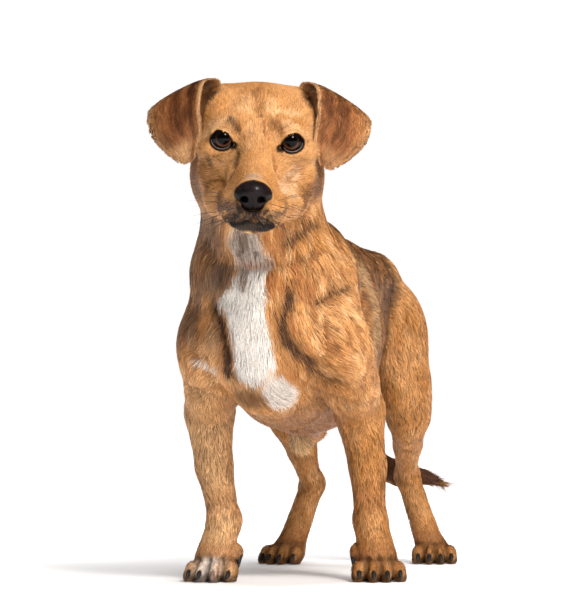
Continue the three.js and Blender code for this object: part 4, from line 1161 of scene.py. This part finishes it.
# ------------------------------------------------------------------ meshes
def new_mesh(name, points, faces, material, corners=None):
    """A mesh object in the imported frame. faces is an array of quads, or a list of such arrays."""
    arrays = [np.asarray(part) for part in (faces if isinstance(faces, list) else [faces])]
    mesh = bpy.data.meshes.new(name)
    mesh.vertices.add(len(points))
    mesh.vertices.foreach_set("co", to_frame(points).astype(np.float32).ravel())
    sizes = np.concatenate([np.full(len(part), part.shape[1]) for part in arrays])
    mesh.loops.add(int(sizes.sum()))
    mesh.loops.foreach_set("vertex_index", np.concatenate([part.ravel() for part in arrays]).astype(np.int32))
    mesh.polygons.add(len(sizes))
    mesh.polygons.foreach_set("loop_start", np.concatenate([[0], np.cumsum(sizes)[:-1]]).astype(np.int32))
    if corners is not None:
        uv = mesh.uv_layers.new(name="OFBake")
        uv.data.foreach_set("uv", corners.astype(np.float32).ravel())
    mesh.update(calc_edges=True)
    mesh.polygons.foreach_set("use_smooth", np.ones(len(sizes), bool))
    mesh.materials.append(material)
    piece = bpy.data.objects.new(name, mesh)
    bpy.context.scene.collection.objects.link(piece)
    return piece


def set_attribute(piece, name, values, kind="FLOAT", domain="POINT"):
    attribute = piece.data.attributes.new(name, kind, domain)
    if kind == "FLOAT_COLOR":
        values = np.hstack([values, np.ones((len(values), 1))])
        attribute.data.foreach_set("color", values.astype(np.float32).ravel())
    else:
        attribute.data.foreach_set("value", values.astype(np.float32).ravel())


def place_piece(piece, slot, *nodes):
    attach(piece, "root")
    if nodes:
        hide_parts(*nodes)
    return piece


# ------------------------------------------------------------------ materials
class Nodes:
    """A material's node tree, with short calls to add and link nodes."""

    def __init__(self, name):
        self.material = bpy.data.materials.new(name)
        self.material.use_nodes = True
        self.tree = self.material.node_tree
        self.shader = self.tree.nodes["Principled BSDF"]

    def add(self, kind, inputs=None, **settings):
        node = self.tree.nodes.new(kind)
        for key, value in settings.items():
            setattr(node, key, value)
        for key, value in (inputs or {}).items():
            if isinstance(value, bpy.types.NodeSocket):
                self.tree.links.new(value, node.inputs[key])
            else:
                node.inputs[key].default_value = value
        return node

    def attribute(self, name, output="Fac"):
        return self.add("ShaderNodeAttribute", attribute_name=name).outputs[output]

    def noise(self, scale, detail=3.0, vector=None):
        inputs = {"Scale": scale, "Detail": detail}
        vector = vector or self.add("ShaderNodeTexCoord").outputs["Object"]
        return self.add("ShaderNodeTexNoise", {**inputs, "Vector": vector}).outputs["Fac"]

    def remap(self, value, low, high, to_low, to_high):
        node = self.add("ShaderNodeMapRange", {"Value": value, "From Min": low, "From Max": high,
                                               "To Min": to_low, "To Max": to_high})
        return node.outputs["Result"]

    def math(self, operation, a, b):
        return self.add("ShaderNodeMath", {0: a, 1: b}, operation=operation).outputs[0]

    def scale_colour(self, colour, value):
        node = self.add("ShaderNodeVectorMath", {0: colour, "Scale": value}, operation="SCALE")
        return node.outputs["Vector"]

    def set(self, **values):
        for key, value in values.items():
            key = key.replace("_", " ")
            if isinstance(value, bpy.types.NodeSocket):
                self.tree.links.new(value, self.shader.inputs[key])
            else:
                self.shader.inputs[key].default_value = value
        return self.material

    def bump(self, height, distance, strength=1.0):
        node = self.add("ShaderNodeBump", {"Height": height, "Distance": distance, "Strength": strength})
        self.tree.links.new(node.outputs["Normal"], self.shader.inputs["Normal"])


def skin_material():
    """Close undercoat: the markings, with painted shade in the hollows between hairs."""
    m = Nodes("undercoat")
    grain = m.noise(1400, 4)
    m.bump(grain, 0.0006, 0.8)
    # painted shade: the markings darker where the grain dips, in the hollows between hairs
    colour = m.scale_colour(m.attribute("markings", "Color"), m.remap(grain, 0.3, 0.7, 0.55, 1.0))
    return m.set(Base_Color=colour, Roughness=m.remap(m.attribute("bare"), 0, 1, 0.78, 0.5),
                 Specular_IOR_Level=0.05)


def coat_material():
    """Short glossy hair: the markings with painted shade towards the root, and fine change from hair to hair.
    """
    m = Nodes("coat")
    along = m.attribute("along")
    # painted shade: each hair darker towards its root, where the hairs shade one another
    depth = m.remap(along, 0, 0.8, 0.45, 1.08)
    hair = m.remap(m.noise(900, 3), 0.3, 0.7, 0.84, 1.16)
    colour = m.scale_colour(m.attribute("markings", "Color"), m.math("MULTIPLY", depth, hair))
    rough = m.remap(m.noise(300, 2), 0.3, 0.7, 0.44, 0.6)
    return m.set(Base_Color=colour, Roughness=rough, Specular_IOR_Level=0.16)


MATERIALS = {"skin": skin_material(), "coat": coat_material()}


# ------------------------------------------------------------------ skin
def make_skin():
    piece = new_mesh("skin", skin_points, skin_quads, MATERIALS["skin"])
    set_attribute(piece, "markings", coat_colours(skin), "FLOAT_COLOR")
    set_attribute(piece, "bare", bareness(skin))
    flesh_nodes = ["head", "ear_left", "ear_right", "neck", "trunk", "tail", *LEGS]
    flesh_nodes += [name.replace("leg", "paw") for name in LEGS]
    return place_piece(piece, "coat", *flesh_nodes)


def bareness(here):
    """1 where the skin has no hair: lid rims, lips, soles and round the nose leather."""
    bare = np.maximum(lid_rim(here, -1, "bare"), lid_rim(here, 1, "bare"))
    nose = here.head - (0, NOSE["back"], NOSE["up"])
    nose = nose / (NOSE["wide"] + 1.5, NOSE["deep"] + 2, NOSE["high"] + 1.5)
    bare = np.maximum(bare, smooth(1.08, 0.96, np.linalg.norm(nose, axis=1)))
    return np.maximum(bare, smooth(-0.5, -0.8, here.normals[:, 2]) * smooth(4, 2.5, here.points[:, 2]))


make_skin()


# ------------------------------------------------------------------ coat
def unwrap(here, chosen, region):
    """Chosen roots' places, from 0 to 1, on the skin of their region rolled out round its length."""
    p, h = here.points[chosen], here.head[chosen]
    if region == "head":
        angle = np.arctan2(h[:, 0], h[:, 2] + 12)
        return angle / (2 * math.pi) + 0.5, smooth(-95, 85, h[:, 1])
    if region == "ear":
        half = np.where(p[:, 0] > HEAD_AT[0], 0.5, 0.0) + np.where(here.ear_face[chosen] > 0, 0.25, 0)
        return here.ear_u[chosen] * 0.24 + half, here.ear_v[chosen]
    if region == "trunk":
        angle = np.arctan2(p[:, 0] - spine_x(p[:, 1]), p[:, 2] - 195)
        return angle / (2 * math.pi) + 0.5, smooth(-150, 320, p[:, 1])
    if region == "tail":
        line = np.array(TAIL, float)
        i = np.linalg.norm(p[:, None] - line[None], axis=2).argmin(1)
        offset = p - line[i]
        angle = np.arctan2(offset[:, 0], offset[:, 1] + offset[:, 2])
        return angle / (2 * math.pi) + 0.5, smooth(235, 45, p[:, 2])
    closest = here.leg_distance[chosen].argmin(1)
    u = np.zeros(len(p))
    for i, leg in enumerate(LEGS.values()):
        top, knee = np.array(leg.get("elbow", leg.get("stifle")), float), np.array(leg["paw"], float)
        t = np.clip((p[:, 2] - knee[2]) / (top[2] - knee[2]), 0, 1)[:, None]
        offset = p - (knee + (top - knee) * t)
        angle = np.arctan2(offset[:, 0], offset[:, 1]) / (2 * math.pi) + 0.5
        u = np.where(closest == i, (i + 0.04 + 0.92 * angle) / 4, u)
    return u, np.clip(p[:, 2] / 260, 0, 1)


def blend_attribute(values, corners, weights):
    """Values at places on the skin, from those at their triangles' corners."""
    return (values[corners] * weights.reshape(weights.shape + (1,) * (values.ndim - 1))).sum(1)


def scatter(rng):
    """Roots spread over the skin by each place's density: their corners on the skin and weights."""
    dense = sum(skin.share[name] * TUFTS[name]["dense"] for name in REGIONS)
    paw = skin.share["leg"] * smooth(40, 26, skin.points[:, 2])
    dense = dense * (1 + 0.7 * paw) * (1 - bareness(skin))
    dense *= 1 + 0.35 * skin.share["head"] * smooth(10, -30, skin.head[:, 1])
    triangles = np.concatenate([skin_quads[:, [0, 1, 2]], skin_quads[:, [0, 2, 3]]])
    a, b, c = (skin_points[triangles[:, i]] for i in range(3))
    area = np.linalg.norm(np.cross(b - a, c - a), axis=1) / 2
    expected = np.cumsum(area * dense[triangles].mean(1))
    count = int(expected[-1])
    picks = np.searchsorted(expected, np.arange(count) + rng.random(count))
    picks = np.minimum(picks, len(triangles) - 1)
    r1, r2 = np.sqrt(rng.random(count)), rng.random(count)
    return triangles[picks], np.stack([1 - r1, r1 * (1 - r2), r1 * r2], 1)


def on_chest(here):
    """1 on the chest's white, where the hair is longer and its colour more even."""
    x, y, _ = here.points.T
    return smooth(-30, -50, y) * smooth(32, 22, np.abs(x + 8)) * here.share["trunk"]


def tuft_sizes(here, rng):
    """Each tuft's length and width, and how high its tip stands over the skin."""
    points, share = here.points, here.share
    count = len(points)
    sizes = {key: sum(share[name] * TUFTS[name][key] for name in REGIONS) for key in ("long", "wide")}
    paw = share["leg"] * smooth(44, 26, points[:, 2])
    face = share["head"] * smooth(6, -40, here.head[:, 1])
    long = sizes["long"] * (1 - 0.42 * paw) * (1 - 0.45 * face) * (1 + 0.2 * on_chest(here))
    long = long * rng.uniform(0.75, 1.2, count)
    near_eye = np.min([np.linalg.norm(points - eye_frame(s)[0], axis=1) for s in (-1, 1)], axis=0)
    long *= toward(0.45, 1.0, smooth(10, 20, near_eye))
    rim = smooth(0.16, 0.03, np.minimum(here.ear_u, 1 - here.ear_u)) + smooth(0.86, 0.97, here.ear_v)
    rim = np.clip(rim + 0.7 * smooth(0.4, 0.2, here.ear_v), 0, 1) * share["ear"]
    long *= 1 - 0.65 * rim
    wide = sizes["wide"] * (1 - 0.3 * paw) * (1 - 0.15 * face) * rng.uniform(0.7, 1.25, count)
    depth = toward(coat_depth(*points.T), (EAR["thick"] - EAR["skin"]) / 2, share["ear"])
    return long, wide, depth * rng.uniform(0.62, 1.0, count)


def tuft_shapes(here, rng):
    """Each tuft's five points from root to tip, the normals that light it, and its middle."""
    points, normals = here.points, here.normals
    count = len(points)
    long, wide, lift = tuft_sizes(here, rng)
    jitter = rng.normal(0, 0.10, count)[:, None]
    lie = unit(here.lie + np.cross(normals, here.lie) * jitter)
    across = np.cross(lie, normals)
    roll = rng.normal(0, 0.35, count)[:, None]
    blade = unit(across * np.cos(roll) + normals * np.sin(roll))
    bend = across * (rng.normal(0, 0.05, count) * long)[:, None]
    farthest = toward(3.0, 1.2, here.share["tail"] * smooth(20, 50, points[:, 0]))

    def at_height(place, height):
        """Moves points along their roots' normals until they are at a height over the skin."""
        step = np.clip(height - field.sample(place), -farthest, farthest)
        return place + normals * step[:, None]

    middle = at_height(points + lie * (long * 0.45)[:, None] + bend * 0.3, lift * 0.75)
    tip = at_height(points + lie * long[:, None] + bend, lift)
    root = points - normals * 0.3
    half = blade * (wide / 2)[:, None]
    ring = np.stack([root - half * 0.8, root + half * 0.8, middle + half, middle - half, tip], 1)
    ring[..., 2] = np.maximum(ring[..., 2], 0.3)
    lean = blade * 0.55
    shade = [normals - lean, normals + lean, normals + lean, normals - lean, normals + lie * 0.2]
    return ring, unit(np.stack(shade, 1)), middle


def tuft_colours(here, rng, middle):
    """Each tuft's colour: the markings under its middle, so that a marking's edge stays in its place."""
    points, count = here.points, len(middle)
    colours = coat_colours(Places(middle, here.normals, here.lie))
    calm = 1 - 0.5 * here.share["head"] - 0.5 * on_chest(here)
    tint = 1 + rng.normal(0, 0.2, count) * calm + 0.18 * noise(points, (2.2, 2.2, 4.0)) * calm
    # a scatter of dark hairs, most of them over the back
    dark_share = 0.05 + 0.09 * smooth(20, 90, points[:, 1]) * here.share["trunk"]
    tint = np.where(rng.random(count) < dark_share, tint * 0.5, tint)
    return np.clip(colours * np.clip(tint, 0.3, 1.6)[:, None], 0.002, 0.95)


def make_coat():
    rng = np.random.default_rng(SEED)
    corners, weights = scatter(rng)
    points = blend_attribute(skin_points, corners, weights)
    here = Places(points, unit(blend_attribute(skin_normals, corners, weights)))
    ring, shade, middle = tuft_shapes(here, rng)
    colours = tuft_colours(here, rng, middle)
    for label, region, chosen in coat_pieces(here):
        patches = patch_corners(here, chosen, region)
        make_tufts(label, ring[chosen], shade[chosen], colours[chosen], patches)


def coat_pieces(here):
    """Each coat piece's name, region and roots."""
    x, y, _ = here.points.T
    regions = np.array(REGIONS)[here.region]
    head_left, left, fore = here.head[:, 0] > 0, x > spine_x(y), y < 60
    closest = here.leg_distance.argmin(1)
    pieces = {
        "coat_head_left": ("head", head_left),
        "coat_head_right": ("head", ~head_left),
        "coat_ears": ("ear", True),
        "coat_chest_left": ("trunk", left & fore),
        "coat_chest_right": ("trunk", ~left & fore),
        "coat_back_left": ("trunk", left & ~fore),
        "coat_back_right": ("trunk", ~left & ~fore),
        "coat_tail": ("tail", True),
    }
    pieces.update({f"coat_{name}": ("leg", closest == i) for i, name in enumerate(LEGS)})
    for label, (region, part) in pieces.items():
        yield label, region, np.flatnonzero((regions == region) & part)


PATCH = 0.003  # how far across each tuft's place on the map is


def patch_corners(here, chosen, region):
    """The OFBake map: each tuft a small patch at its root's place on the rolled-out skin."""
    places = []
    for value in unwrap(here, chosen, region):
        low, high = value.min(), value.max()
        places.append(PATCH + (1 - 3 * PATCH) * (value - low) / (high - low + 1e-9))
    corner = np.array([(0, 0), (1, 0), (1, 0.6), (0, 0.6), (0, 0.6), (1, 0.6), (0.5, 1)]) * PATCH
    return np.stack(places, 1)[:, None, :] + corner[None]


def make_tufts(label, ring, shade, colours, uv):
    """A coat piece: each tuft a quad from its root to its middle, and a triangle on to its tip."""
    base = np.arange(len(ring))[:, None] * 5
    quads, tips = base + np.array([0, 1, 2, 3]), base + np.array([3, 2, 4])
    corners = np.concatenate([uv[:, :4].reshape(-1, 2), uv[:, 4:].reshape(-1, 2)])
    piece = new_mesh(label, ring.reshape(-1, 3), [quads, tips], MATERIALS["coat"], corners)
    set_attribute(piece, "markings", np.repeat(colours, 5, axis=0), "FLOAT_COLOR")
    set_attribute(piece, "along", np.tile(np.array([0, 0, 0.6, 0.6, 1.0]), len(ring)))
    piece.data.normals_split_custom_set_from_vertices(shade.reshape(-1, 3).astype(np.float32))
    return place_piece(piece, "coat")


make_coat()


# ------------------------------------------------------------------ eyes, nose, claws and whiskers
def ball_mesh(rings, spokes):
    """Unit directions from a pole at +Z to one at -Z, and the faces between them."""
    polar, around = np.meshgrid(np.linspace(0, math.pi, rings + 1)[1:-1],
                                np.arange(spokes) * 2 * math.pi / spokes, indexing="ij")
    ring = np.stack([np.sin(polar) * np.cos(around), np.sin(polar) * np.sin(around), np.cos(polar)], -1)
    points = np.vstack([[0, 0, 1], ring.reshape(-1, 3), [0, 0, -1]])
    i = np.arange(spokes)
    j = (i + 1) % spokes
    start = 1 + np.arange(rings - 2)[:, None] * spokes
    quads = np.stack([start + i, start + spokes + i, start + spokes + j, start + j], -1).reshape(-1, 4)
    last = len(points) - 1
    top = np.stack([0 * i, 1 + i, 1 + j], 1)
    bottom = np.stack([0 * i + last, last - spokes + j, last - spokes + i], 1)
    return points, [quads, np.vstack([top, bottom])]


def tube(path, radii, sides, flat=1.0, side=None):
    """A closed round tube along a path. flat is its height over its width."""
    path, radii = np.asarray(path, float), np.asarray(radii, float)[:, None, None]
    tangent = unit(np.gradient(path, axis=0))
    side = unit(np.cross(tangent, UP if side is None else side))
    high = np.cross(side, tangent)
    angle = np.arange(sides) * 2 * math.pi / sides
    ring = side[:, None] * np.cos(angle)[:, None] + high[:, None] * (np.sin(angle) * flat)[:, None]
    points = np.vstack([(path[:, None] + ring * radii).reshape(-1, 3), path[[0, -1]]])
    i = np.arange(sides)
    j = (i + 1) % sides
    start = np.arange(len(path) - 1)[:, None] * sides
    quads = np.stack([start + i, start + j, start + sides + j, start + sides + i], -1).reshape(-1, 4)
    first, last = len(points) - 2, len(points) - 1
    end = (len(path) - 1) * sides
    caps = np.vstack([np.stack([0 * i + first, j, i], 1), np.stack([0 * i + last, end + i, end + j], 1)])
    return points, [quads, caps]


def merge(parts):
    """Several shapes as the points and faces of one mesh."""
    points, quads, triangles, start = [], [], [], 0
    for part, (four, three) in parts:
        points.append(part)
        quads.append(four + start)
        triangles.append(three + start)
        start += len(part)
    return np.vstack(points), [np.vstack(quads), np.vstack(triangles)]


def camera_away():
    """The level direction from the dog to the camera."""
    azimuth = math.radians(CAMERA["azimuth"])
    return np.array([math.sin(azimuth), -math.cos(azimuth), 0])


def eye_material():
    m = Nodes("eye")
    rough = m.remap(m.noise(500, 2), 0.3, 0.7, 0.06, 0.1)
    return m.set(Base_Color=m.attribute("markings", "Color"), Roughness=rough, Specular_IOR_Level=0.03,
                 Coat_Weight=0.35, Coat_Roughness=0.02, Coat_IOR=1.33)


def make_eye(name, s):
    """An eyeball with its cornea's bulge, dark brown iris and pupil, looking at the viewer."""
    centre, _, _, high = eye_frame(s)
    gaze = unit(camera_away() * CAMERA["distance"] + UP * CAMERA["height"] - centre)
    across = unit(np.cross(gaze, UP))
    turn = np.stack([across, np.cross(gaze, across), gaze], 1)
    ball, faces = ball_mesh(110, 120)
    angle = np.arccos(np.clip(ball[:, 2], -1, 1))
    rise = np.maximum(1 - (angle / (IRIS["limbus"] * 1.05)) ** 2, 0) ** 1.5 * IRIS["bulge"]
    points = centre + (ball * (EYE["radius"] + rise)[:, None]) @ turn.T
    around = np.arctan2(ball[:, 1], ball[:, 0])
    below = np.clip(-(turn @ ball.T).T[:, 2] / 0.5, -1, 1)
    fibre = noise(np.stack([30 + 9 * np.cos(around), 9 * np.sin(around), angle * 3], 1), 0.9)
    t = angle / IRIS["limbus"]
    iris = mix(tone("1d100b"), tone("2f1b12"), np.clip(0.4 + 0.5 * fibre, 0, 1))
    # painted light: the iris paler in its lower half, as where light from above glows through the cornea
    iris = mix(iris, tone("5c3828"), 0.7 * smooth(0.0, 0.8, below) * smooth(0.95, 0.7, t))
    # the dark ring at the limbus, and painted shade from the upper lid over the iris's upper half
    iris = mix(iris, tone("050303"), np.maximum(smooth(0.66, 0.86, t), 0.85 * smooth(0.1, -0.4, below)))
    colour = mix(iris, tone("030202"), smooth(IRIS["pupil"] + 0.09, IRIS["pupil"] - 0.09, angle))
    white = mix(tone("080505"), tone("2a201c"), smooth(1.2, 1.5, t))
    colour = mix(colour, white, smooth(0.98, 1.06, t))
    piece = new_mesh(name.replace("eye", "eyeball"), points, faces, MATERIALS["eye"])
    set_attribute(piece, "markings", colour, "FLOAT_COLOR")
    return place_piece(piece, "eye", name)


def make_lid_margin(label, s):
    """The wet edge of the lower lid, against the eyeball."""
    centre, ahead, outward, high = eye_frame(s)
    angles = np.linspace(math.radians(185), math.radians(355), 44)
    flat = (outward * (np.cos(angles) * (LIDS["half_wide"] - 0.3))[:, None]
            + high * (np.sin(angles) * (LIDS["half_high"] - 0.3) - LIDS["drop"])[:, None])
    reach = EYE["radius"] + 0.45
    forward = np.sqrt(reach**2 - (flat**2).sum(1))
    path = centre + flat + ahead * forward[:, None]
    thick = 0.4 * np.sin(np.linspace(0.05, math.pi - 0.05, len(path))) ** 0.5
    points, faces = tube(path, thick, 8, side=ahead)
    return place_piece(new_mesh(label, points, faces, MATERIALS["margin"]), "eye")


def margin_material():
    m = Nodes("lid_margin")
    colour = m.scale_colour(tuple(tone("6a5f5c")), m.remap(m.noise(800, 2), 0.3, 0.7, 0.7, 1.1))
    return m.set(Base_Color=colour, Roughness=0.2, Specular_IOR_Level=0.4)


def nose_material():
    """Moist black leather, finely pebbled."""
    m = Nodes("nose_leather")
    place = m.add("ShaderNodeTexCoord").outputs["Object"]
    cells = m.add("ShaderNodeTexVoronoi", {"Vector": place, "Scale": 900.0}, feature="SMOOTH_F1")
    fine = m.noise(2600, 3, place)
    height = m.math("ADD", cells.outputs["Distance"], m.math("MULTIPLY", fine, 0.4))
    m.bump(height, 0.00022, 0.75)
    shade = m.remap(cells.outputs["Distance"], 0.1, 0.8, 1.2, 0.6)
    colour = m.scale_colour(m.attribute("markings", "Color"), shade)
    rough = m.remap(m.noise(160, 2, place), 0.35, 0.65, 0.28, 0.46)
    return m.set(Base_Color=colour, Roughness=rough, Specular_IOR_Level=0.05, Coat_Weight=0.1,
                 Coat_Roughness=0.16)


# the nose leather's half-width at each height, in mm from its middle
NOSE_OUTLINE = [(-11.2, 0), (-10.6, 5.5), (-9, 8.2), (-7, 9.3), (-5.2, 10.2), (-3.6, 12.6), (-1.2, 13.9),
                (2, 13.8), (5, 12.5), (8, 9.4), (10, 5.6), (11.2, 0)]


def make_nose():
    """The nose leather: wings over a narrower base, comma-shaped nostrils and the middle groove."""
    ball, faces = ball_mesh(170, 190)
    ball = np.stack([ball[:, 0], -ball[:, 2], ball[:, 1]], 1)
    z = ball[:, 2] * NOSE["high"]
    heights, widths = zip(*NOSE_OUTLINE)
    level = np.sqrt(np.maximum(1 - ball[:, 2] ** 2, 1e-6))
    x = ball[:, 0] / level * np.interp(z, heights, widths)
    y = ball[:, 1] * NOSE["deep"] - NOSE["lean"] * ball[:, 2]
    front = smooth(0.1, -0.35, ball[:, 1])
    a = np.abs(x)
    # a nostril's hole, then its slit running out under the wing
    hole = np.exp(-((((a - 5.9) / 2.6) ** 2 + ((z + 1.4) / 2.3) ** 2) ** 2))
    t = np.clip((a - 6.0) / 8.0, 0, 1)
    slit = np.exp(-(((z + 2.6 + 2.2 * t**1.5) / 0.85) ** 2)) * smooth(5.0, 7.0, a)
    wing = np.exp(-(((a - 9.5) / 3.6) ** 2 + ((z - 1.6) / 3.0) ** 2))
    groove = np.exp(-((x / 0.75) ** 2)) * smooth(-2.0, -5.0, z)
    ridge = np.exp(-(((z - 5.0) / 2.6) ** 2 + (x / 9.0) ** 2))
    y = y + front * (4.6 * hole + 1.9 * slit - 0.9 * wing + 0.9 * groove - 0.7 * ridge)
    points = in_head(np.stack([x, NOSE["back"] + y, NOSE["up"] + z], 1))
    dark = mix(tone("120d0d"), tone("1e1616"), np.clip(0.5 + 0.5 * noise(points, 3.0), 0, 1))
    # painted shade in the nostrils, their slits and the middle groove
    colour = mix(dark, tone("020202"), np.clip(front * (hole * 1.1 + 0.6 * slit + 0.3 * groove), 0, 1))
    piece = new_mesh("nose_leather", points, faces, nose_material())
    set_attribute(piece, "markings", colour, "FLOAT_COLOR")
    return place_piece(piece, "nose_leather", "nose")


def claw_material():
    """Dark horn with fine lengthwise streaks."""
    m = Nodes("claw")
    streaks = m.noise(700, 3)
    m.bump(streaks, 0.0002, 0.5)
    colour = m.scale_colour(m.attribute("markings", "Color"), m.remap(streaks, 0.3, 0.7, 0.4, 1.2))
    return m.set(Base_Color=colour, Roughness=m.remap(streaks, 0.3, 0.7, 0.3, 0.45), Specular_IOR_Level=0.22)


def claw_shape(root, ahead, size):
    """A claw curving down from its root to a blunt point."""
    t = np.linspace(-0.3, 1.0, 12)
    drop = CLAW["droop"] * size["long"] * np.maximum(t, 0) ** 2
    path = root + ahead * (t * size["long"])[:, None] - UP * drop[:, None]
    radii = size["thick"] * np.sqrt(np.clip(1.02 - np.maximum(t, 0) ** 1.6, 0.02, 1)) * 0.9
    return tube(path, radii, 14, flat=1.2)


def make_claws():
    parts, colours, nodes = [], [], []
    for name, leg in LEGS.items():
        ahead, inward, at = paw_frame(leg)
        roots = [(at(inner * 1.06, reach + CLAW["ahead"], CLAW["up"]), ahead, CLAW)
                 for inner, reach in toe_places(paw_size(name))]
        if name.startswith("fore"):
            dewclaw = at(DEWCLAW["aside"], -DEWCLAW["back"], DEWCLAW["up"])
            roots.append((dewclaw, unit(ahead - DEWCLAW["dip"] * UP), DEWCLAW))
        for number, (root, forward, shape) in enumerate(roots, 1):
            part = claw_shape(root, forward, shape)
            parts.append(part)
            pale = name == "foreleg_right" and number == 3
            shade = tone("8f6f60") if pale else tone("1a1513")
            tip = np.clip((part[0] - root) @ forward / shape["long"], 0, 1)[:, None]
            colours.append(shade * (1 - 0.3 * tip) + 0.02 * tip)
            nodes.append(f"claw_{name}_{number}")
    points, faces = merge(parts)
    piece = new_mesh("claws", points, faces, claw_material())
    set_attribute(piece, "markings", np.vstack(colours), "FLOAT_COLOR")
    return place_piece(piece, "claw", *nodes)


def whisker_material():
    m = Nodes("whisker")
    value = m.remap(m.noise(60, 2), 0.3, 0.7, 0.008, 0.03)
    colour = m.add("ShaderNodeCombineColor", {"Red": value, "Green": value, "Blue": value})
    return m.set(Base_Color=colour.outputs["Color"], Roughness=0.4)


def make_whiskers():
    """Stiff dark hairs from the muzzle, the brows and the chin."""
    rng = np.random.default_rng(SEED + 1)
    parts = []

    def add(root, direction, long, thick):
        start = in_head(root)[None, :]
        for _ in range(3):
            slope = field.slope(start)
            start = start - unit(slope) * field.sample(start)[:, None]
        direction = unit(HEAD_TURN @ np.array(direction) + rng.normal(0, 0.10, 3))
        t = np.linspace(0, 1, 9)[:, None]
        sag = rng.uniform(0.05, 0.2)
        path = start + direction * long * t - UP * (sag * long * t**2) - unit(slope) * 0.5
        parts.append(tube(path, thick * (1.02 - t[:, 0]), 3))

    for s in (-1, 1):
        for row in range(4):
            for along in range(4):
                root = (s * (13 + 2.6 * along), -63 + 8.5 * along, -30 - 4.0 * row - 1.0 * along)
                outward = (s * 1.0, -0.55 + 0.32 * along, 0.15 - 0.22 * row)
                add(root, outward, rng.uniform(18, 36), 0.22)
        for k in range(3):
            add((s * (17 + 3 * k), -8, 13 + k), (s * (0.25 + 0.3 * k), -0.8, 0.75), rng.uniform(11, 17), 0.13)
        for k in range(3):
            add((s * (4 + 4 * k), -58 + 6 * k, -53), (s * 0.35, -0.35, -1), rng.uniform(9, 15), 0.12)
    points, faces = merge(parts)
    return place_piece(new_mesh("whiskers", points, faces, whisker_material()), "coat")


MATERIALS["eye"] = eye_material()
MATERIALS["margin"] = margin_material()
for side_name, side_sign in SIDES.items():
    make_eye(f"eye_{side_name}", side_sign)
    make_lid_margin(f"lid_margin_{side_name}", side_sign)
make_nose()
make_claws()
make_whiskers()


# ------------------------------------------------------------------ floor, light and camera
FLOOR = 14.0  # half its side, in metres


def make_stage():
    """A white floor that glows softly further out, so that it runs into the white behind it."""
    m = Nodes("floor")
    tone_value = m.remap(m.noise(3, 2), 0.3, 0.7, 0.90, 0.93)
    colour = m.add("ShaderNodeCombineColor", {"Red": tone_value, "Green": tone_value, "Blue": tone_value})
    place = m.add("ShaderNodeTexCoord").outputs["Object"]
    far = m.add("ShaderNodeVectorMath", {0: place}, operation="LENGTH").outputs["Value"]
    glow = m.math("ADD", m.remap(far, 0.1, 0.42, 0.0, 0.5), m.remap(far, 0.42, 4.0, 0.0, 0.5))
    m.set(Base_Color=colour.outputs["Color"], Roughness=0.7, Specular_IOR_Level=0.2,
          Emission_Color=(1, 1, 1, 1), Emission_Strength=glow)
    mesh = bpy.data.meshes.new("floor")
    corners = [(x * FLOOR, y * FLOOR, 0) for x, y in ((-1, -1), (1, -1), (1, 1), (-1, 1))]
    mesh.from_pydata(corners, [], [(0, 1, 2, 3)])
    mesh.materials.append(m.material)
    floor = bpy.data.objects.new("floor", mesh)
    bpy.context.scene.collection.objects.link(floor)


MIDDLE = (0.0, -0.05, 0.2)  # where the lamps point, in metres
# each lamp's place and width in metres, its power and its colour
LIGHTS = {
    "key": ((1.7, -2.4, 2.9), 0.95, 125, (1, 0.98, 0.95)),
    "key_soft": ((1.65, -2.45, 3.0), 2.6, 36, (1, 0.98, 0.95)),
    "low": ((2.3, -1.7, 0.75), 1.5, 44, (1, 0.98, 0.96)),
    "fill": ((-1.7, -1.6, 0.7), 1.4, 5, (0.96, 0.98, 1)),
    "top": ((0.2, 0.2, 2.2), 1.0, 20, (1, 1, 1)),
    "back_left": ((1.6, 1.5, 1.0), 1.0, 11, (1, 1, 1)),
    "back_right": ((-1.6, 1.5, 1.0), 1.0, 9, (1, 1, 1)),
}
WORLD = {"light": 0.13, "seen": 1.05}  # how bright the surroundings shine, and how bright they look


def aim(thing, place, ahead):
    """Sets a lamp or camera at a place, facing ahead, in the scene."""
    thing.location = Vector(place)
    thing.rotation_mode = "QUATERNION"
    thing.rotation_quaternion = Vector(ahead).to_track_quat("-Z", "Y")
    bpy.context.scene.collection.objects.link(thing)


def make_lights():
    for name, (place, size, power, colour) in LIGHTS.items():
        light = bpy.data.lights.new(name, "AREA")
        light.shape, light.size, light.energy, light.color = "DISK", size, power, colour
        lamp = bpy.data.objects.new(name, light)
        lamp.visible_glossy = name == "key"  # one highlight in each eye
        aim(lamp, place, Vector(MIDDLE) - Vector(place))


def make_world():
    world = bpy.data.worlds.new("studio")
    bpy.context.scene.world = world
    world.use_nodes = True
    tree = world.node_tree
    background = tree.nodes["Background"]
    background.inputs["Color"].default_value = (1, 1, 1, 1)
    seen = tree.nodes.new("ShaderNodeLightPath")
    strength = tree.nodes.new("ShaderNodeMapRange")
    strength.inputs["To Min"].default_value = WORLD["light"]
    strength.inputs["To Max"].default_value = WORLD["seen"]
    tree.links.new(seen.outputs["Is Camera Ray"], strength.inputs["Value"])
    tree.links.new(strength.outputs["Result"], background.inputs["Strength"])


def make_camera():
    camera = bpy.data.objects.new("camera", bpy.data.cameras.new("camera"))
    away, tilt = camera_away(), math.radians(CAMERA["tilt"])
    camera.data.lens, camera.data.sensor_width = CAMERA["lens"], CAMERA["sensor"]
    camera.data.clip_end = CAMERA["clip"] * MM
    place = to_frame(away * CAMERA["distance"] + UP * CAMERA["height"])
    aim(camera, place, UP * math.sin(tilt) - away * math.cos(tilt))
    bpy.context.scene.camera = camera


make_stage()
make_world()
make_lights()
make_camera()
bpy.context.scene.view_settings.view_transform = "Standard"
